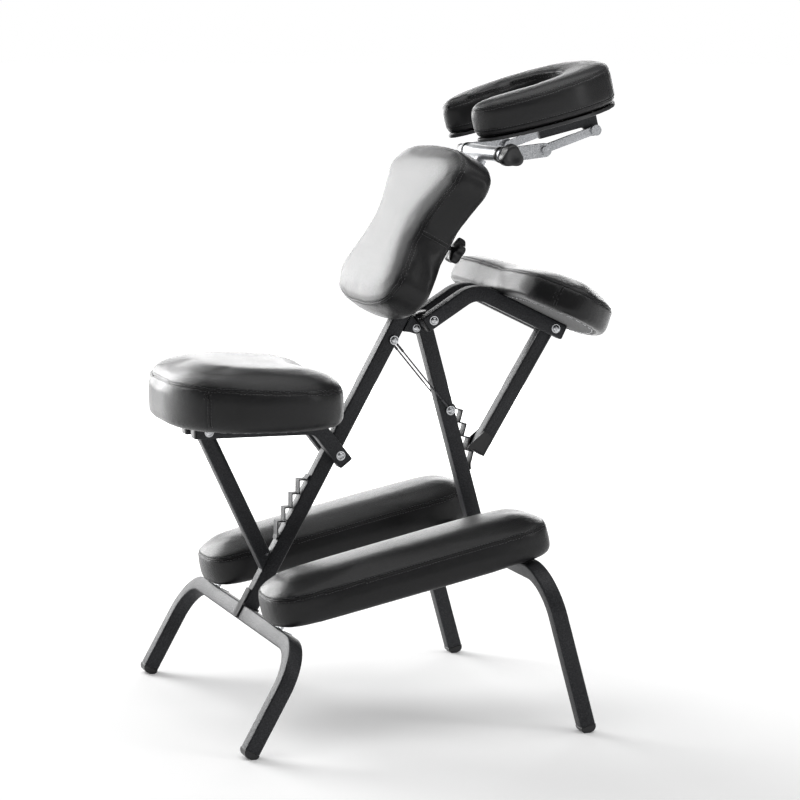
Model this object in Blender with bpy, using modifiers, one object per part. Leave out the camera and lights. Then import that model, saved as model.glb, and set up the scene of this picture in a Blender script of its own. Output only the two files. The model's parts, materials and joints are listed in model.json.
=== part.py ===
"""Portable kneeling massage chair: two hinged leg frames, seat, chest pad, armrest, face cradle."""
from math import cos, sin, tan, pi, radians, atan2

import bmesh
import bpy
from mathutils import Matrix, Vector

# ---- driving dimensions, metres and degrees ----
CHAIR_Y = 0.058             # moves the whole chair so that its bounding box is centred on the origin
GAP = 0.0003                # clearance between touching pieces
TUBE = 0.025                # square steel tube
TUBE_ROUND = 0.003
BEND_RADIUS = 0.067
LEG_OUTER_X = 0.310         # half the width over the legs

REAR_LEAN = radians(28.6)   # seat-side frame, leaning forwards
REAR_FOOT_Y = -0.3788
REAR_BAR = 0.1805           # crossbar centre, measured up the slope of the frame
POST_TOP = 0.995
FRONT_LEAN = radians(15.85)  # armrest-side frame, leaning back
FRONT_FOOT_Y = 0.1845
FRONT_BAR = 0.2625
FRONT_POST_TOP = 0.664
LEG_END = 0.0128

FOLD_PIVOT = (0.0300, 0.7190)     # behind and along the main post
SEAT_PIVOT = (0.0060, 0.4780)
SEAT_STRUT_PIVOT = (-0.3650, 0.4635)
ARM_PIVOT = (0.0070, 0.6545)      # behind and along the front post
ARM_STRUT_PIVOT = (0.2262, 0.6125)
REAR_CABLE_BOLT = (0.0050, 0.6844)
FRONT_CABLE_BOLT = (0.0042, 0.4975)
SIDE_BAR_X = 0.0272               # centre of each side bar
BOLT_RADIUS = 0.0040
HOLE_RADIUS = BOLT_RADIUS + GAP

SEAT_BAR_Z = 0.4650
BOARD = 0.010                     # plywood under every pad
ARM_SLOPE = radians(-25.6)
KNEE_X = 0.173
KNEE_PIVOT = (-0.0095, 0.1965)    # behind and along the seat-side frame
KNEE_LIFT = 0.0030                # hinge axis to the underside of the knee board
CRADLE_AXIS = 1.0249
CRADLE_TILT = radians(14.0)
CRADLE_BOLT = (0.1820, 0.9080)
CRADLE_DISC = (0.2725, 0.9393)
CRADLE_PLATE = (0.2000, 0.9512)
STEM_RADIUS = 0.0095

COLOURS = {                       # colour, metallic, roughness
    "grey paint": ((0.075, 0.078, 0.085), 0.35, 0.45),
    "black vinyl": ((0.018, 0.018, 0.020), 0.0, 0.35),
    "black plastic": ((0.012, 0.012, 0.013), 0.0, 0.40),
    "zinc": ((0.72, 0.73, 0.75), 1.0, 0.22),
    "silver paint": ((0.52, 0.53, 0.55), 0.75, 0.35),
    "plywood": ((0.42, 0.29, 0.17), 0.0, 0.60),
    "black cable": ((0.02, 0.02, 0.022), 0.2, 0.45),
    "black rubber": ((0.02, 0.02, 0.02), 0.0, 0.75),
}


# ---- scene helpers ----
def clear_scene():
    for thing in list(bpy.data.objects):
        bpy.data.objects.remove(thing, do_unlink=True)


def collection(name):
    made = bpy.data.collections.new(name)
    bpy.context.scene.collection.children.link(made)
    return made


def empty(name, parent=None, location=(0, 0, 0), lean=0.0):
    """An unseen handle: a frame to build in, or a joint axis."""
    thing = bpy.data.objects.new(name, None)
    PARTS.objects.link(thing)
    thing.parent = parent
    thing.location = location
    thing.rotation_euler = (lean, 0, 0)
    thing.empty_display_size = 0.04
    return thing


def material(name, finish):
    made = bpy.data.materials.new(name)
    made.use_nodes = True
    shader = made.node_tree.nodes["Principled BSDF"]
    colour, metallic, roughness = COLOURS[finish]
    shader.inputs["Base Color"].default_value = (*colour, 1)
    shader.inputs["Metallic"].default_value = metallic
    shader.inputs["Roughness"].default_value = roughness
    made.diffuse_color = (*colour, 1)
    return made


def add_part(name, mesh, finish, parent, location=(0, 0, 0), turn=(0, 0, 0)):
    part = bpy.data.objects.new(name, mesh)
    mesh.materials.append(material(name, finish))
    PARTS.objects.link(part)
    part.parent = parent
    part.location = location
    part.rotation_euler = turn
    return part


def add_cutter(name, mesh, parent, location=(0, 0, 0), turn=(0, 0, 0)):
    cutter = bpy.data.objects.new(name, mesh)
    CUTTERS.objects.link(cutter)
    cutter.parent = parent
    cutter.location = location
    cutter.rotation_euler = turn
    cutter.hide_render = True
    cutter.display_type = "WIRE"
    return cutter


def boolean(part, other, operation="DIFFERENCE"):
    modifier = part.modifiers.new(operation.lower(), "BOOLEAN")
    modifier.operation = operation
    modifier.object = other
    modifier.solver = "EXACT"
    return modifier


def smooth(mesh, angle=40):
    mesh.shade_smooth()
    mesh.set_sharp_from_angle(angle=radians(angle))
    return mesh


def to_mesh(name, bm):
    bmesh.ops.recalc_face_normals(bm, faces=bm.faces)
    mesh = bpy.data.meshes.new(name)
    bm.to_mesh(mesh)
    bm.free()
    return mesh


# ---- shape helpers ----
def box_mesh(name, low, high, rounding=0.0, segments=2, lengthwise=None):
    """A box between two corners; rounding softens all edges, or only those along one axis."""
    bm = bmesh.new()
    size = [b - a for a, b in zip(low, high)]
    middle = [(a + b) / 2 for a, b in zip(low, high)]
    bmesh.ops.create_cube(bm, size=1.0)
    bmesh.ops.scale(bm, vec=size, verts=bm.verts)
    bmesh.ops.translate(bm, vec=middle, verts=bm.verts)
    if rounding:
        edges = list(bm.edges)
        if lengthwise is not None:
            edges = [e for e in edges
                     if abs((e.verts[0].co - e.verts[1].co).normalized()[lengthwise]) > 0.99]
        bmesh.ops.bevel(bm, geom=edges, offset=rounding, segments=segments, affect="EDGES",
                        profile=0.5)
    return to_mesh(name, bm)


def rod_mesh(name, radius, low, high, axis="X", y=0.0, z=0.0, sides=24):
    """A cylinder along X, Y or Z between two positions on that axis."""
    bm = bmesh.new()
    bmesh.ops.create_cone(bm, cap_ends=True, segments=sides, radius1=radius, radius2=radius,
                          depth=high - low)
    bmesh.ops.translate(bm, vec=(0, 0, (low + high) / 2), verts=bm.verts)
    turns = {"X": Matrix.Rotation(pi / 2, 3, "Y"), "Y": Matrix.Rotation(-pi / 2, 3, "X"),
             "Z": Matrix.Identity(3)}
    bmesh.ops.rotate(bm, cent=(0, 0, 0), matrix=turns[axis], verts=bm.verts)
    bmesh.ops.translate(bm, vec=(0, y, z), verts=bm.verts)
    return smooth(to_mesh(name, bm))


def turned_mesh(name, profile, axis_turn, sides=24):
    """A turned shape: a profile of (radius, height), listed from top to bottom, spun about Z."""
    bm = bmesh.new()
    rings = []
    for radius, height in profile:
        if radius == 0:
            rings.append([bm.verts.new((0, 0, height))])
        else:
            rings.append([bm.verts.new((radius * cos(2 * pi * i / sides),
                                        radius * sin(2 * pi * i / sides), height))
                          for i in range(sides)])
    for upper, lower in zip(rings, rings[1:]):
        for i in range(sides):
            j = (i + 1) % sides
            corners = [upper[i % len(upper)], upper[j % len(upper)],
                       lower[j % len(lower)], lower[i % len(lower)]]
            bm.faces.new(list(dict.fromkeys(corners)))
    bmesh.ops.rotate(bm, cent=(0, 0, 0), matrix=axis_turn, verts=bm.verts)
    return smooth(to_mesh(name, bm), 35)


def slab_mesh(name, outline, low, high, plane="XY"):
    """A flat outline with thickness: in XY it is raised along Z, in YZ along X."""
    bm = bmesh.new()
    if plane == "XY":
        corners = [bm.verts.new((a, b, low)) for a, b in outline]
        lift = (0, 0, high - low)
    else:
        corners = [bm.verts.new((low, a, b)) for a, b in outline]
        lift = (high - low, 0, 0)
    face = bm.faces.new(corners)
    raised = bmesh.ops.extrude_face_region(bm, geom=[face])
    moved = [v for v in raised["geom"] if isinstance(v, bmesh.types.BMVert)]
    bmesh.ops.translate(bm, vec=lift, verts=moved)
    return to_mesh(name, bm)


def smooth_loop(points, per_span=3):
    """A closed smooth curve through the points."""
    count = len(points)
    loop = []
    for i in range(count):
        a, b, c, d = (Vector(points[(i + k) % count]) for k in (-1, 0, 1, 2))
        for step in range(per_span):
            t = step / per_span
            loop.append(0.5 * (2 * b + (c - a) * t + (2 * a - 5 * b + 4 * c - d) * t * t
                               + (3 * b - a - 3 * c + d) * t ** 3))
    return [(p.x, p.y) for p in loop]


def mirrored(half):
    """A closed outline from its right half, whose first and last points are on the centreline."""
    return list(half) + [(-x, y) for x, y in reversed(half[1:-1])]


def inset(outline, distance):
    """The outline moved inwards along its corner normals."""
    area = sum(a[0] * b[1] - b[0] * a[1] for a, b in zip(outline, outline[1:] + outline[:1]))
    side = 1 if area > 0 else -1
    moved = []
    for i, point in enumerate(outline):
        before = Vector(outline[i - 1])
        after = Vector(outline[(i + 1) % len(outline)])
        along = (after - before).normalized()
        moved.append((point[0] - side * along.y * distance, point[1] + side * along.x * distance))
    return moved


def cushion_mesh(name, outline, rings, slope=0.0, recess=None):
    """A pad: the outline stacked through (inset, height) rings; slope raises the top towards -Y.

    recess is (inset, depth) of the pocket that the board sits in.
    """
    bm = bmesh.new()
    if recess:
        pocket_inset, depth = recess
        rings = [(pocket_inset, depth), (pocket_inset, 0.0)] + rings
    seam = max(height for _, height in rings) * 0.5
    stack = []
    for distance, height in rings:
        ring = []
        for x, y in inset(outline, distance):
            lift = -slope * y * min(1.0, max(0.0, (height - 0.012) / seam))
            if recess and len(stack) < 2:
                lift = 0.0
            ring.append(bm.verts.new((x, y, height + lift)))
        stack.append(ring)
    count = len(outline)
    for lower, upper in zip(stack, stack[1:]):
        for i in range(count):
            j = (i + 1) % count
            bm.faces.new((lower[i], lower[j], upper[j], upper[i]))
    bm.faces.new(list(reversed(stack[0])))
    bm.faces.new(stack[-1])
    return smooth(to_mesh(name, bm), 50)


def rounded_square(half, radius, steps=2):
    points = []
    for corner, (sx, sy) in enumerate(((1, 1), (-1, 1), (-1, -1), (1, -1))):
        for step in range(steps + 1):
            angle = (corner + step / steps) * pi / 2
            points.append((sx * (half - radius) + radius * cos(angle),
                           sy * (half - radius) + radius * sin(angle)))
    return points


def square_tube(name, path, parent, finish="grey paint", location=(0, 0, 0), turn=(0, 0, 0)):
    """A square tube swept along a flat path, as a mesh that can be cut."""
    profile_data = bpy.data.curves.new(name + "_section", "CURVE")
    profile_data.dimensions = "2D"
    section = profile_data.splines.new("POLY")
    corners = rounded_square(TUBE / 2, TUBE_ROUND)
    section.points.add(len(corners) - 1)
    for point, (x, y) in zip(section.points, corners):
        point.co = (x, y, 0, 1)
    section.use_cyclic_u = True
    profile = bpy.data.objects.new(name + "_section", profile_data)
    CUTTERS.objects.link(profile)
    curve = bpy.data.curves.new(name, "CURVE")
    curve.dimensions = "3D"
    curve.twist_mode = "MINIMUM"
    curve.bevel_mode = "OBJECT"
    curve.bevel_object = profile
    curve.use_fill_caps = True
    spline = curve.splines.new("POLY")
    spline.points.add(len(path) - 1)
    for point, place in zip(spline.points, path):
        point.co = (*place, 1)
    swept = bpy.data.objects.new(name, curve)
    PARTS.objects.link(swept)
    bpy.context.view_layer.update()
    evaluated = swept.evaluated_get(bpy.context.evaluated_depsgraph_get())
    mesh = bpy.data.meshes.new_from_object(evaluated)
    bm = bmesh.new()
    bm.from_mesh(mesh)
    bmesh.ops.remove_doubles(bm, verts=bm.verts, dist=0.00005)
    bmesh.ops.recalc_face_normals(bm, faces=bm.faces)
    bm.to_mesh(mesh)
    bm.free()
    for used in (swept, profile):
        bpy.data.objects.remove(used, do_unlink=True)
    return add_part(name, smooth(mesh), finish, parent, location, turn)


def filleted(corners, radius, steps=5):
    """A path in a plane with its inner corners rounded."""
    path = [Vector(corners[0])]
    for before, corner, after in zip(corners, corners[1:], corners[2:]):
        a, c, b = Vector(before), Vector(corner), Vector(after)
        to_a, to_b = (a - c).normalized(), (b - c).normalized()
        half = to_a.angle(to_b) / 2
        reach = radius / tan(half)
        centre = c + (to_a + to_b).normalized() * (radius / sin(half))
        start, end = c + to_a * reach, c + to_b * reach
        for step in range(steps + 1):
            t = step / steps
            arm = (start - centre).slerp(end - centre, t)
            path.append(centre + arm.normalized() * radius)
    path.append(Vector(corners[-1]))
    return path


def wire(name, path, radius, finish, parent, location=(0, 0, 0)):
    """A round wire along a path, with filled ends."""
    curve = bpy.data.curves.new(name, "CURVE")
    curve.dimensions = "3D"
    curve.bevel_depth = radius
    curve.bevel_resolution = 2
    curve.use_fill_caps = True
    spline = curve.splines.new("POLY")
    spline.points.add(len(path) - 1)
    for point, place in zip(spline.points, path):
        point.co = (*place, 1)
    part = bpy.data.objects.new(name, curve)
    curve.materials.append(material(name, finish))
    PARTS.objects.link(part)
    part.parent = parent
    part.location = location
    return part


def bolt_mesh(name, half_length, head_radius=0.0075, head=0.0045):
    """A bolt across the chair: a shank with a domed head and a domed nut."""
    top = half_length + head
    profile = [(0, top), (head_radius * 0.55, top), (head_radius * 0.92, top - head * 0.35),
               (head_radius, half_length + head * 0.25), (head_radius, half_length),
               (BOLT_RADIUS, half_length)]
    profile += [(r, -h) for r, h in reversed(profile)]
    return turned_mesh(name, profile, Matrix.Rotation(pi / 2, 3, "Y"))


def hole(part, radius, parent, behind, along, reach=0.08):
    """A round hole across a piece, along X."""
    cutter = add_cutter(part.name + "_hole", rod_mesh("hole", radius, -reach, reach, "X", behind, along),
                        parent)
    boolean(part, cutter)


def rear_to_chair(behind, along):
    return (REAR_FOOT_Y + along * sin(REAR_LEAN) + behind * cos(REAR_LEAN),
            along * cos(REAR_LEAN) - behind * sin(REAR_LEAN))


def front_to_chair(behind, along):
    return (FRONT_FOOT_Y - along * sin(FRONT_LEAN) + behind * cos(FRONT_LEAN),
            along * cos(FRONT_LEAN) + behind * sin(FRONT_LEAN))


def axis_at(name, parent, place, x=0.0):
    """A joint axis along X, at a place in the chair's own upright frame."""
    return empty(name, parent, (x, place[0], place[1]))


def away_from(place, x=0.0):
    """The location that puts a chair-frame mesh under an axis at this place."""
    return (-x, -place[0], -place[1])


# ---- the leg frames ----
def leg_frame(name, bar_height, frame, location=(0, 0, 0)):
    """One tube bent into an arch: two legs and a crossbar."""
    x = LEG_OUTER_X - TUBE / 2
    corners = [(-x, 0, LEG_END), (-x, 0, bar_height), (x, 0, bar_height), (x, 0, LEG_END)]
    return square_tube(name, filleted(corners, BEND_RADIUS, 8), frame, location=location)


def foot_cap(name, side, frame, lean):
    """A plastic bullet end, flush with its leg, rounded at the toe and flat where it stands."""
    x = side * (LEG_OUTER_X - TUBE / 2)
    wall = TUBE / 2 + GAP
    toe, top = 0.0100, LEG_END - GAP
    base = (toe - 0.0009 + (wall - toe) * sin(lean)) / cos(lean) - toe
    outline = [(wall, top), (-wall, top)]
    for centre, start in ((-wall + toe, pi), (wall - toe, 3 * pi / 2)):
        outline += [(centre + toe * cos(start + pi * i / 8), base + toe + toe * sin(start + pi * i / 8))
                    for i in range(5)]
    cap = add_part(name, slab_mesh(name, outline, x - wall, x + wall, "YZ"), "black plastic", frame)
    boolean(cap, add_cutter(name + "_floor", box_mesh("floor", (x - 0.1, -0.6, -0.1),
                                                      (x + 0.1, 0.6, 0.0)), CHAIR))
    return cap


def ratchet(name, tips, depth, first, last, frame, facing):
    """A strip bent into steps and welded along a post; the strut's pin rests in a step."""
    half = 0.010
    inner = depth - 0.0105
    path = [(TUBE / 2 + 0.0016, first), (inner, tips[0] + 0.0059)]
    pitch = abs(tips[1] - tips[0])
    for tip in tips:
        path.append((depth, tip))
        path.append((inner, tip - pitch + 0.0059))
    path.append((TUBE / 2 + 0.0016, last))
    bm = bmesh.new()
    rows = [[bm.verts.new((x, facing * away, along)) for x in (-half, half)] for away, along in path]
    for a, b in zip(rows, rows[1:]):
        bm.faces.new((a[0], a[1], b[1], b[0]))
    strip = add_part(name, to_mesh(name, bm), "grey paint", frame)
    thicken = strip.modifiers.new("thickness", "SOLIDIFY")
    thicken.thickness = 0.0020
    thicken.offset = 0.0
    thicken.use_even_offset = True
    return strip


def rear_frame():
    """The seat-side frame: legs, main post and everything welded or bolted to them."""
    leg_frame("seat_side_leg", REAR_BAR, REAR)
    half = TUBE / 2
    foot = REAR_BAR + half + GAP
    post = add_part("main_post", box_mesh("main_post", (-half, -half, foot), (half, half, POST_TOP),
                                          TUBE_ROUND, lengthwise=2), "grey paint", REAR)
    boolean(post, add_cutter("main_post_bore", rod_mesh("bore", STEM_RADIUS + GAP, 0.800, 1.050, "Z"), REAR))
    hole(post, HOLE_RADIUS, REAR, *SEAT_PIVOT)
    hole(post, HOLE_RADIUS, REAR, *REAR_CABLE_BOLT)
    for side, tag in ((-1, "left"), (1, "right")):
        foot_cap("foot_cap_rear_" + tag, side, REAR, REAR_LEAN)
    teeth = [0.4124 - 0.0252 * i for i in range(4)]
    ratchet("seat_ratchet", teeth, 0.0265, 0.4275, 0.3100, REAR, -1)
    add_part("post_guard", box_mesh("post_guard", (-0.011, -half - 0.0030, 0.1690),
                                    (0.011, -half - GAP, 0.2200), 0.0008, 1), "black rubber", REAR)
    fold_clevis()
    bolt = add_part("seat_hinge_bolt", bolt_mesh("seat_hinge_bolt", SIDE_BAR_X + half + GAP), "zinc", CHAIR)
    bolt.location = (0, *rear_to_chair(*SEAT_PIVOT))
    bolt = add_part("rear_cable_bolt", bolt_mesh("rear_cable_bolt", half + 0.0034), "zinc", CHAIR)
    bolt.location = (0, *rear_to_chair(*REAR_CABLE_BOLT))


def fold_clevis():
    """The bent bracket behind the main post, and the pin on which the front frame folds."""
    behind, along = FOLD_PIVOT
    back = TUBE / 2 + GAP
    inner, outer = 0.0129, 0.0144
    clevis = add_part("fold_clevis", box_mesh("fold_clevis", (-outer, back, 0.7045),
                                              (outer, back + 0.0022, 0.7335)), "grey paint", REAR)
    nose = [(behind + 0.0085 * cos(a), along + 0.0085 * sin(a))
            for a in (-pi / 2 + pi * i / 10 for i in range(11))]
    outline = [(back + 0.0002, along - 0.0145)] + nose + [(back + 0.0002, along + 0.0145)]
    for side in (-1, 1):
        low, high = sorted((side * inner, side * outer))
        cheek = slab_mesh("cheek", outline, low, high, "YZ")
        boolean(clevis, add_cutter("fold_clevis_cheek_%d" % side, cheek, REAR), "UNION")
    hole(clevis, HOLE_RADIUS, REAR, behind, along)
    pin = add_part("fold_pin", bolt_mesh("fold_pin", outer + GAP, 0.0065, 0.0025), "zinc", CHAIR)
    pin.location = (0, *rear_to_chair(behind, along))


def front_frame():
    """The armrest-side frame, which folds about the pin behind the main post."""
    leg_frame("arm_side_leg", FRONT_BAR, FRONT)
    half = TUBE / 2
    foot = FRONT_BAR + half + GAP
    post = add_part("front_post", box_mesh("front_post", (-half, -half, foot),
                                           (half, half, FRONT_POST_TOP), TUBE_ROUND, lengthwise=2),
                    "grey paint", FRONT)
    hole(post, HOLE_RADIUS, FRONT, *ARM_PIVOT)
    hole(post, HOLE_RADIUS, FRONT, *FRONT_CABLE_BOLT)
    for side, tag in ((-1, "left"), (1, "right")):
        foot_cap("foot_cap_front_" + tag, side, FRONT, FRONT_LEAN)
        x = side * KNEE_X
        top = FRONT_BAR + half
        add_part("knee_rest_" + tag, box_mesh("knee_rest", (x - 0.020, -0.011, top + GAP),
                                              (x + 0.020, 0.011, top + 0.0030), 0.0006, 1),
                 "black rubber", FRONT)
    teeth = [0.4897 - 0.0240 * i for i in range(4)]
    ratchet("armrest_ratchet", teeth, 0.0265, 0.5040, 0.3900, FRONT, 1)
    fold_lug()
    bolt = add_part("armrest_hinge_bolt", bolt_mesh("armrest_hinge_bolt", SIDE_BAR_X + half + GAP),
                    "zinc", FOLD)
    bolt.location = from_axis(FOLD, (0, *front_to_chair(*ARM_PIVOT)))
    bolt = add_part("front_cable_bolt", bolt_mesh("front_cable_bolt", half + 0.0034), "zinc", FOLD)
    bolt.location = from_axis(FOLD, (0, *front_to_chair(*FRONT_CABLE_BOLT)))


def from_axis(axis, place):
    return Vector(place) - axis.location


def fold_lug():
    """The lug on the front post that turns on the fold pin."""
    pivot_y, pivot_z = rear_to_chair(*FOLD_PIVOT)
    dy, dz = pivot_y - FRONT_FOOT_Y, pivot_z
    along = -dy * sin(FRONT_LEAN) + dz * cos(FRONT_LEAN)
    behind = dy * cos(FRONT_LEAN) + dz * sin(FRONT_LEAN)
    radius = 0.0095
    near = -TUBE / 2 - GAP
    arc = [(behind + radius * cos(a), along + radius * sin(a))
           for a in (pi / 2 + pi * i / 10 for i in range(11))]
    outline = [(near, along - radius)] + list(reversed(arc)) + [(near, along + radius)]
    lug = add_part("fold_lug", slab_mesh("fold_lug", outline, -0.0123, 0.0123, "YZ"), "grey paint", FRONT)
    hole(lug, HOLE_RADIUS, FRONT, behind, along)


def cables():
    """Two steel cables between the posts: they stop the frames from spreading further."""
    start = Vector((0, *rear_to_chair(*REAR_CABLE_BOLT)))
    end = Vector((0, *front_to_chair(*FRONT_CABLE_BOLT)))
    run = (end - start).normalized()
    x = TUBE / 2 + 0.0017
    for side, tag in ((-1, "left"), (1, "right")):
        shift = Vector((side * x, 0, 0))
        a, b = start + run * (BOLT_RADIUS + 0.0008), end - run * (BOLT_RADIUS + 0.0008)
        cable = wire("limit_cable_" + tag, [a + shift, a.lerp(b, 0.5) + shift, b + shift], 0.0012,
                     "black cable", FOLD)
        cable.location = -FOLD.location


# ---- knee pads ----
def knee_plane():
    """Tilt of the knee boards: from the hinge to the rests on the front crossbar."""
    pivot = rear_to_chair(*KNEE_PIVOT)
    rest = front_to_chair(0.011, FRONT_BAR + TUBE / 2 + 0.0030 + 2 * GAP)
    dy, dz = rest[0] - pivot[0], rest[1] - pivot[1]
    reach = (dy * dy + dz * dz) ** 0.5
    return pivot, atan2(dz, dy) - KNEE_LIFT / reach


def knee_assembly():
    half = [(0.0, -0.018), (0.045, -0.010), (0.071, 0.018), (0.080, 0.075), (0.082, 0.200),
            (0.083, 0.330), (0.078, 0.410), (0.060, 0.448), (0.030, 0.463), (0.0, 0.466)]
    outline = smooth_loop(mirrored(half), 2)
    rings = [(0.009, 0.0), (0.0025, 0.006), (0.0, 0.022), (0.002, 0.042), (0.010, 0.053),
             (0.024, 0.064), (0.042, 0.070)]
    pivot, tilt = knee_plane()
    for side, tag in ((-1, "left"), (1, "right")):
        x = side * KNEE_X
        axis = axis_at("knee_axis_" + tag, CHAIR, pivot, x)
        turn = (tilt, 0, 0)
        lift = Matrix.Rotation(tilt, 3, "X") @ Vector((0, 0, KNEE_LIFT))
        board = slab_mesh("knee_board", inset(outline, 0.0125), 0.0, BOARD)
        add_part("knee_board_" + tag, board, "plywood", axis, lift, turn)
        pad = cushion_mesh("knee_pad", outline, rings, recess=(0.0120, BOARD + GAP))
        add_part("knee_pad_" + tag, pad, "black vinyl", axis, lift, turn)
        knee_hinge(tag, x, axis, tilt)


def knee_hinge(tag, x, axis, tilt):
    """A butt hinge: one leaf on the crossbar, one under the board."""
    behind, along = KNEE_PIVOT
    bar_top = REAR_BAR + TUBE / 2 + GAP
    base = add_part("knee_hinge_base_" + tag,
                    box_mesh("base", (x - 0.030, behind + 0.0038, bar_top),
                             (x + 0.030, 0.0110, bar_top + 0.0012)), "zinc", REAR)
    foot = box_mesh("foot", (x - 0.012, behind, bar_top), (x + 0.012, behind + 0.0060, bar_top + 0.0018))
    boolean(base, add_cutter("knuckle_foot_" + tag, foot, REAR), "UNION")
    knuckle = rod_mesh("knuckle", 0.0027, -0.012, 0.012, "X", behind, along, 16)
    knuckle.transform(Matrix.Translation((x, 0, 0)))
    boolean(base, add_cutter("knuckle_" + tag, knuckle, REAR), "UNION")
    leaf = add_part("knee_hinge_leaf_" + tag,
                    box_mesh("leaf", (-0.030, 0.0034, KNEE_LIFT - GAP - 0.0010),
                             (0.030, 0.0300, KNEE_LIFT - GAP)), "zinc", axis, (0, 0, 0), (tilt, 0, 0))
    for end in (-1, 1):
        low, high = sorted((end * 0.0125, end * 0.030))
        ear = rod_mesh("ear", 0.0026, low, high, "X", 0, 0, 16)
        ear_object = add_cutter("ear_%s_%d" % (tag, end), ear, axis, (0, 0, 0), (tilt, 0, 0))
        boolean(leaf, ear_object, "UNION")
        web = box_mesh("web", (low, -0.0002, 0.0008), (high, 0.0060, KNEE_LIFT - GAP))
        boolean(leaf, add_cutter("web_%s_%d" % (tag, end), web, axis, (0, 0, 0), (tilt, 0, 0)), "UNION")


# ---- seat ----
SEAT_HALF = [(0.0, -0.141), (0.055, -0.140), (0.098, -0.129), (0.138, -0.103), (0.167, -0.058),
             (0.178, 0.000), (0.177, 0.050), (0.165, 0.091), (0.140, 0.123), (0.108, 0.140),
             (0.074, 0.143), (0.042, 0.128), (0.0, 0.110)]
SEAT_Y = -0.3000


def seat():
    place = rear_to_chair(*SEAT_PIVOT)
    axis = axis_at("seat_axis", CHAIR, place)
    direction = Vector((0, -0.62, 0.785)).normalized()
    hinge = Vector((0, *place))
    end = hinge - direction * 0.0145
    rise = (SEAT_BAR_Z - hinge.z) / direction.z
    corner = hinge + direction * rise
    for side, tag in ((-1, "left"), (1, "right")):
        shift = Vector((side * SIDE_BAR_X, 0, 0))
        path = filleted([end + shift, corner + shift, Vector((shift.x, -0.3850, SEAT_BAR_Z))], 0.030, 4)
        bar = square_tube("seat_bar_" + tag, path, axis, location=away_from(place))
        holes = add_cutter("seat_bar_hole_" + tag, rod_mesh("hole", HOLE_RADIUS, -0.06, 0.06, "X",
                                                            *place), CHAIR)
        boolean(bar, holes)
        holes = add_cutter("seat_bar_strut_hole_" + tag,
                           rod_mesh("hole", HOLE_RADIUS, -0.06, 0.06, "X", *SEAT_STRUT_PIVOT), CHAIR)
        boolean(bar, holes)
    base = SEAT_BAR_Z + TUBE / 2 + GAP
    outline = smooth_loop(mirrored(SEAT_HALF), 2)
    location = Vector((0, SEAT_Y, base)) - Vector((0, *place))
    board = slab_mesh("seat_board", inset(outline, 0.0145), 0.0, BOARD)
    add_part("seat_board", board, "plywood", axis, location)
    rings = [(0.012, 0.0), (0.003, 0.010), (0.0, 0.030), (0.004, 0.061), (0.016, 0.075),
             (0.036, 0.087), (0.060, 0.095)]
    pad = cushion_mesh("seat_pad", outline, rings, slope=0.045, recess=(0.0140, BOARD + GAP))
    add_part("seat_pad", pad, "black vinyl", axis, location)
    add_part("seat_strut_bolt", bolt_mesh("seat_strut_bolt", SIDE_BAR_X + TUBE / 2 + GAP), "zinc",
             axis, Vector((0, *SEAT_STRUT_PIVOT)) - Vector((0, *place)))
    seat_strut(axis, place)


def prop(name, axis, angle, foot):
    """A prop of square tube hanging from a bolt, its top end rounded to clear the board."""
    half = TUBE / 2
    tube = add_part(name, box_mesh(name, (-half, -half, foot), (half, half, 0.0), TUBE_ROUND, lengthwise=2),
                    "grey paint", axis, (0, 0, 0), (angle, 0, 0))
    end = rod_mesh("end", half - 0.00005, -half + 0.0001, half - 0.0001, "X")
    boolean(tube, add_cutter(name + "_end", end, axis), "UNION")
    hole(tube, HOLE_RADIUS, axis, 0.0, 0.0)
    return tube


def seat_strut(seat_axis, seat_place):
    """The prop under the seat: its foot is cut to lie along the main post."""
    pivot = SEAT_STRUT_PIVOT
    axis = empty("seat_strut_axis", seat_axis,
                 (0, pivot[0] - seat_place[0], pivot[1] - seat_place[1]))
    foot = rear_to_chair(-TUBE / 2 - 0.0006, 0.2717)
    direction = Vector((0, *foot)) - Vector((0, *pivot))
    length = direction.length
    angle = atan2(direction.y, -direction.z)
    half = TUBE / 2
    strut = prop("seat_strut", axis, angle, -length - 0.04)
    face = box_mesh("face", (-0.05, -half - 0.0006, 0.0), (0.05, 0.30, 0.60))
    boolean(strut, add_cutter("seat_strut_mitre", face, REAR))
    pin_place = rear_to_chair(-0.0195, 0.2830)
    boolean(strut, add_cutter("seat_strut_pin_hole", rod_mesh("hole", 0.0028, -0.05, 0.05, "X",
                                                              *pin_place), CHAIR))
    pin = rod_mesh("seat_strut_pin", 0.0025, -0.0165, 0.0165, "X", 0, 0, 16)
    add_part("seat_strut_pin", pin, "zinc", axis,
             (0, pin_place[0] - pivot[0], pin_place[1] - pivot[1]))


# ---- armrest ----
ARM_HALF = [(0.0, 0.020), (0.090, 0.009), (0.165, 0.009), (0.212, 0.026), (0.250, 0.051),
            (0.259, 0.077), (0.248, 0.108), (0.218, 0.142), (0.168, 0.168), (0.092, 0.195), (0.0, 0.211)]


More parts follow.
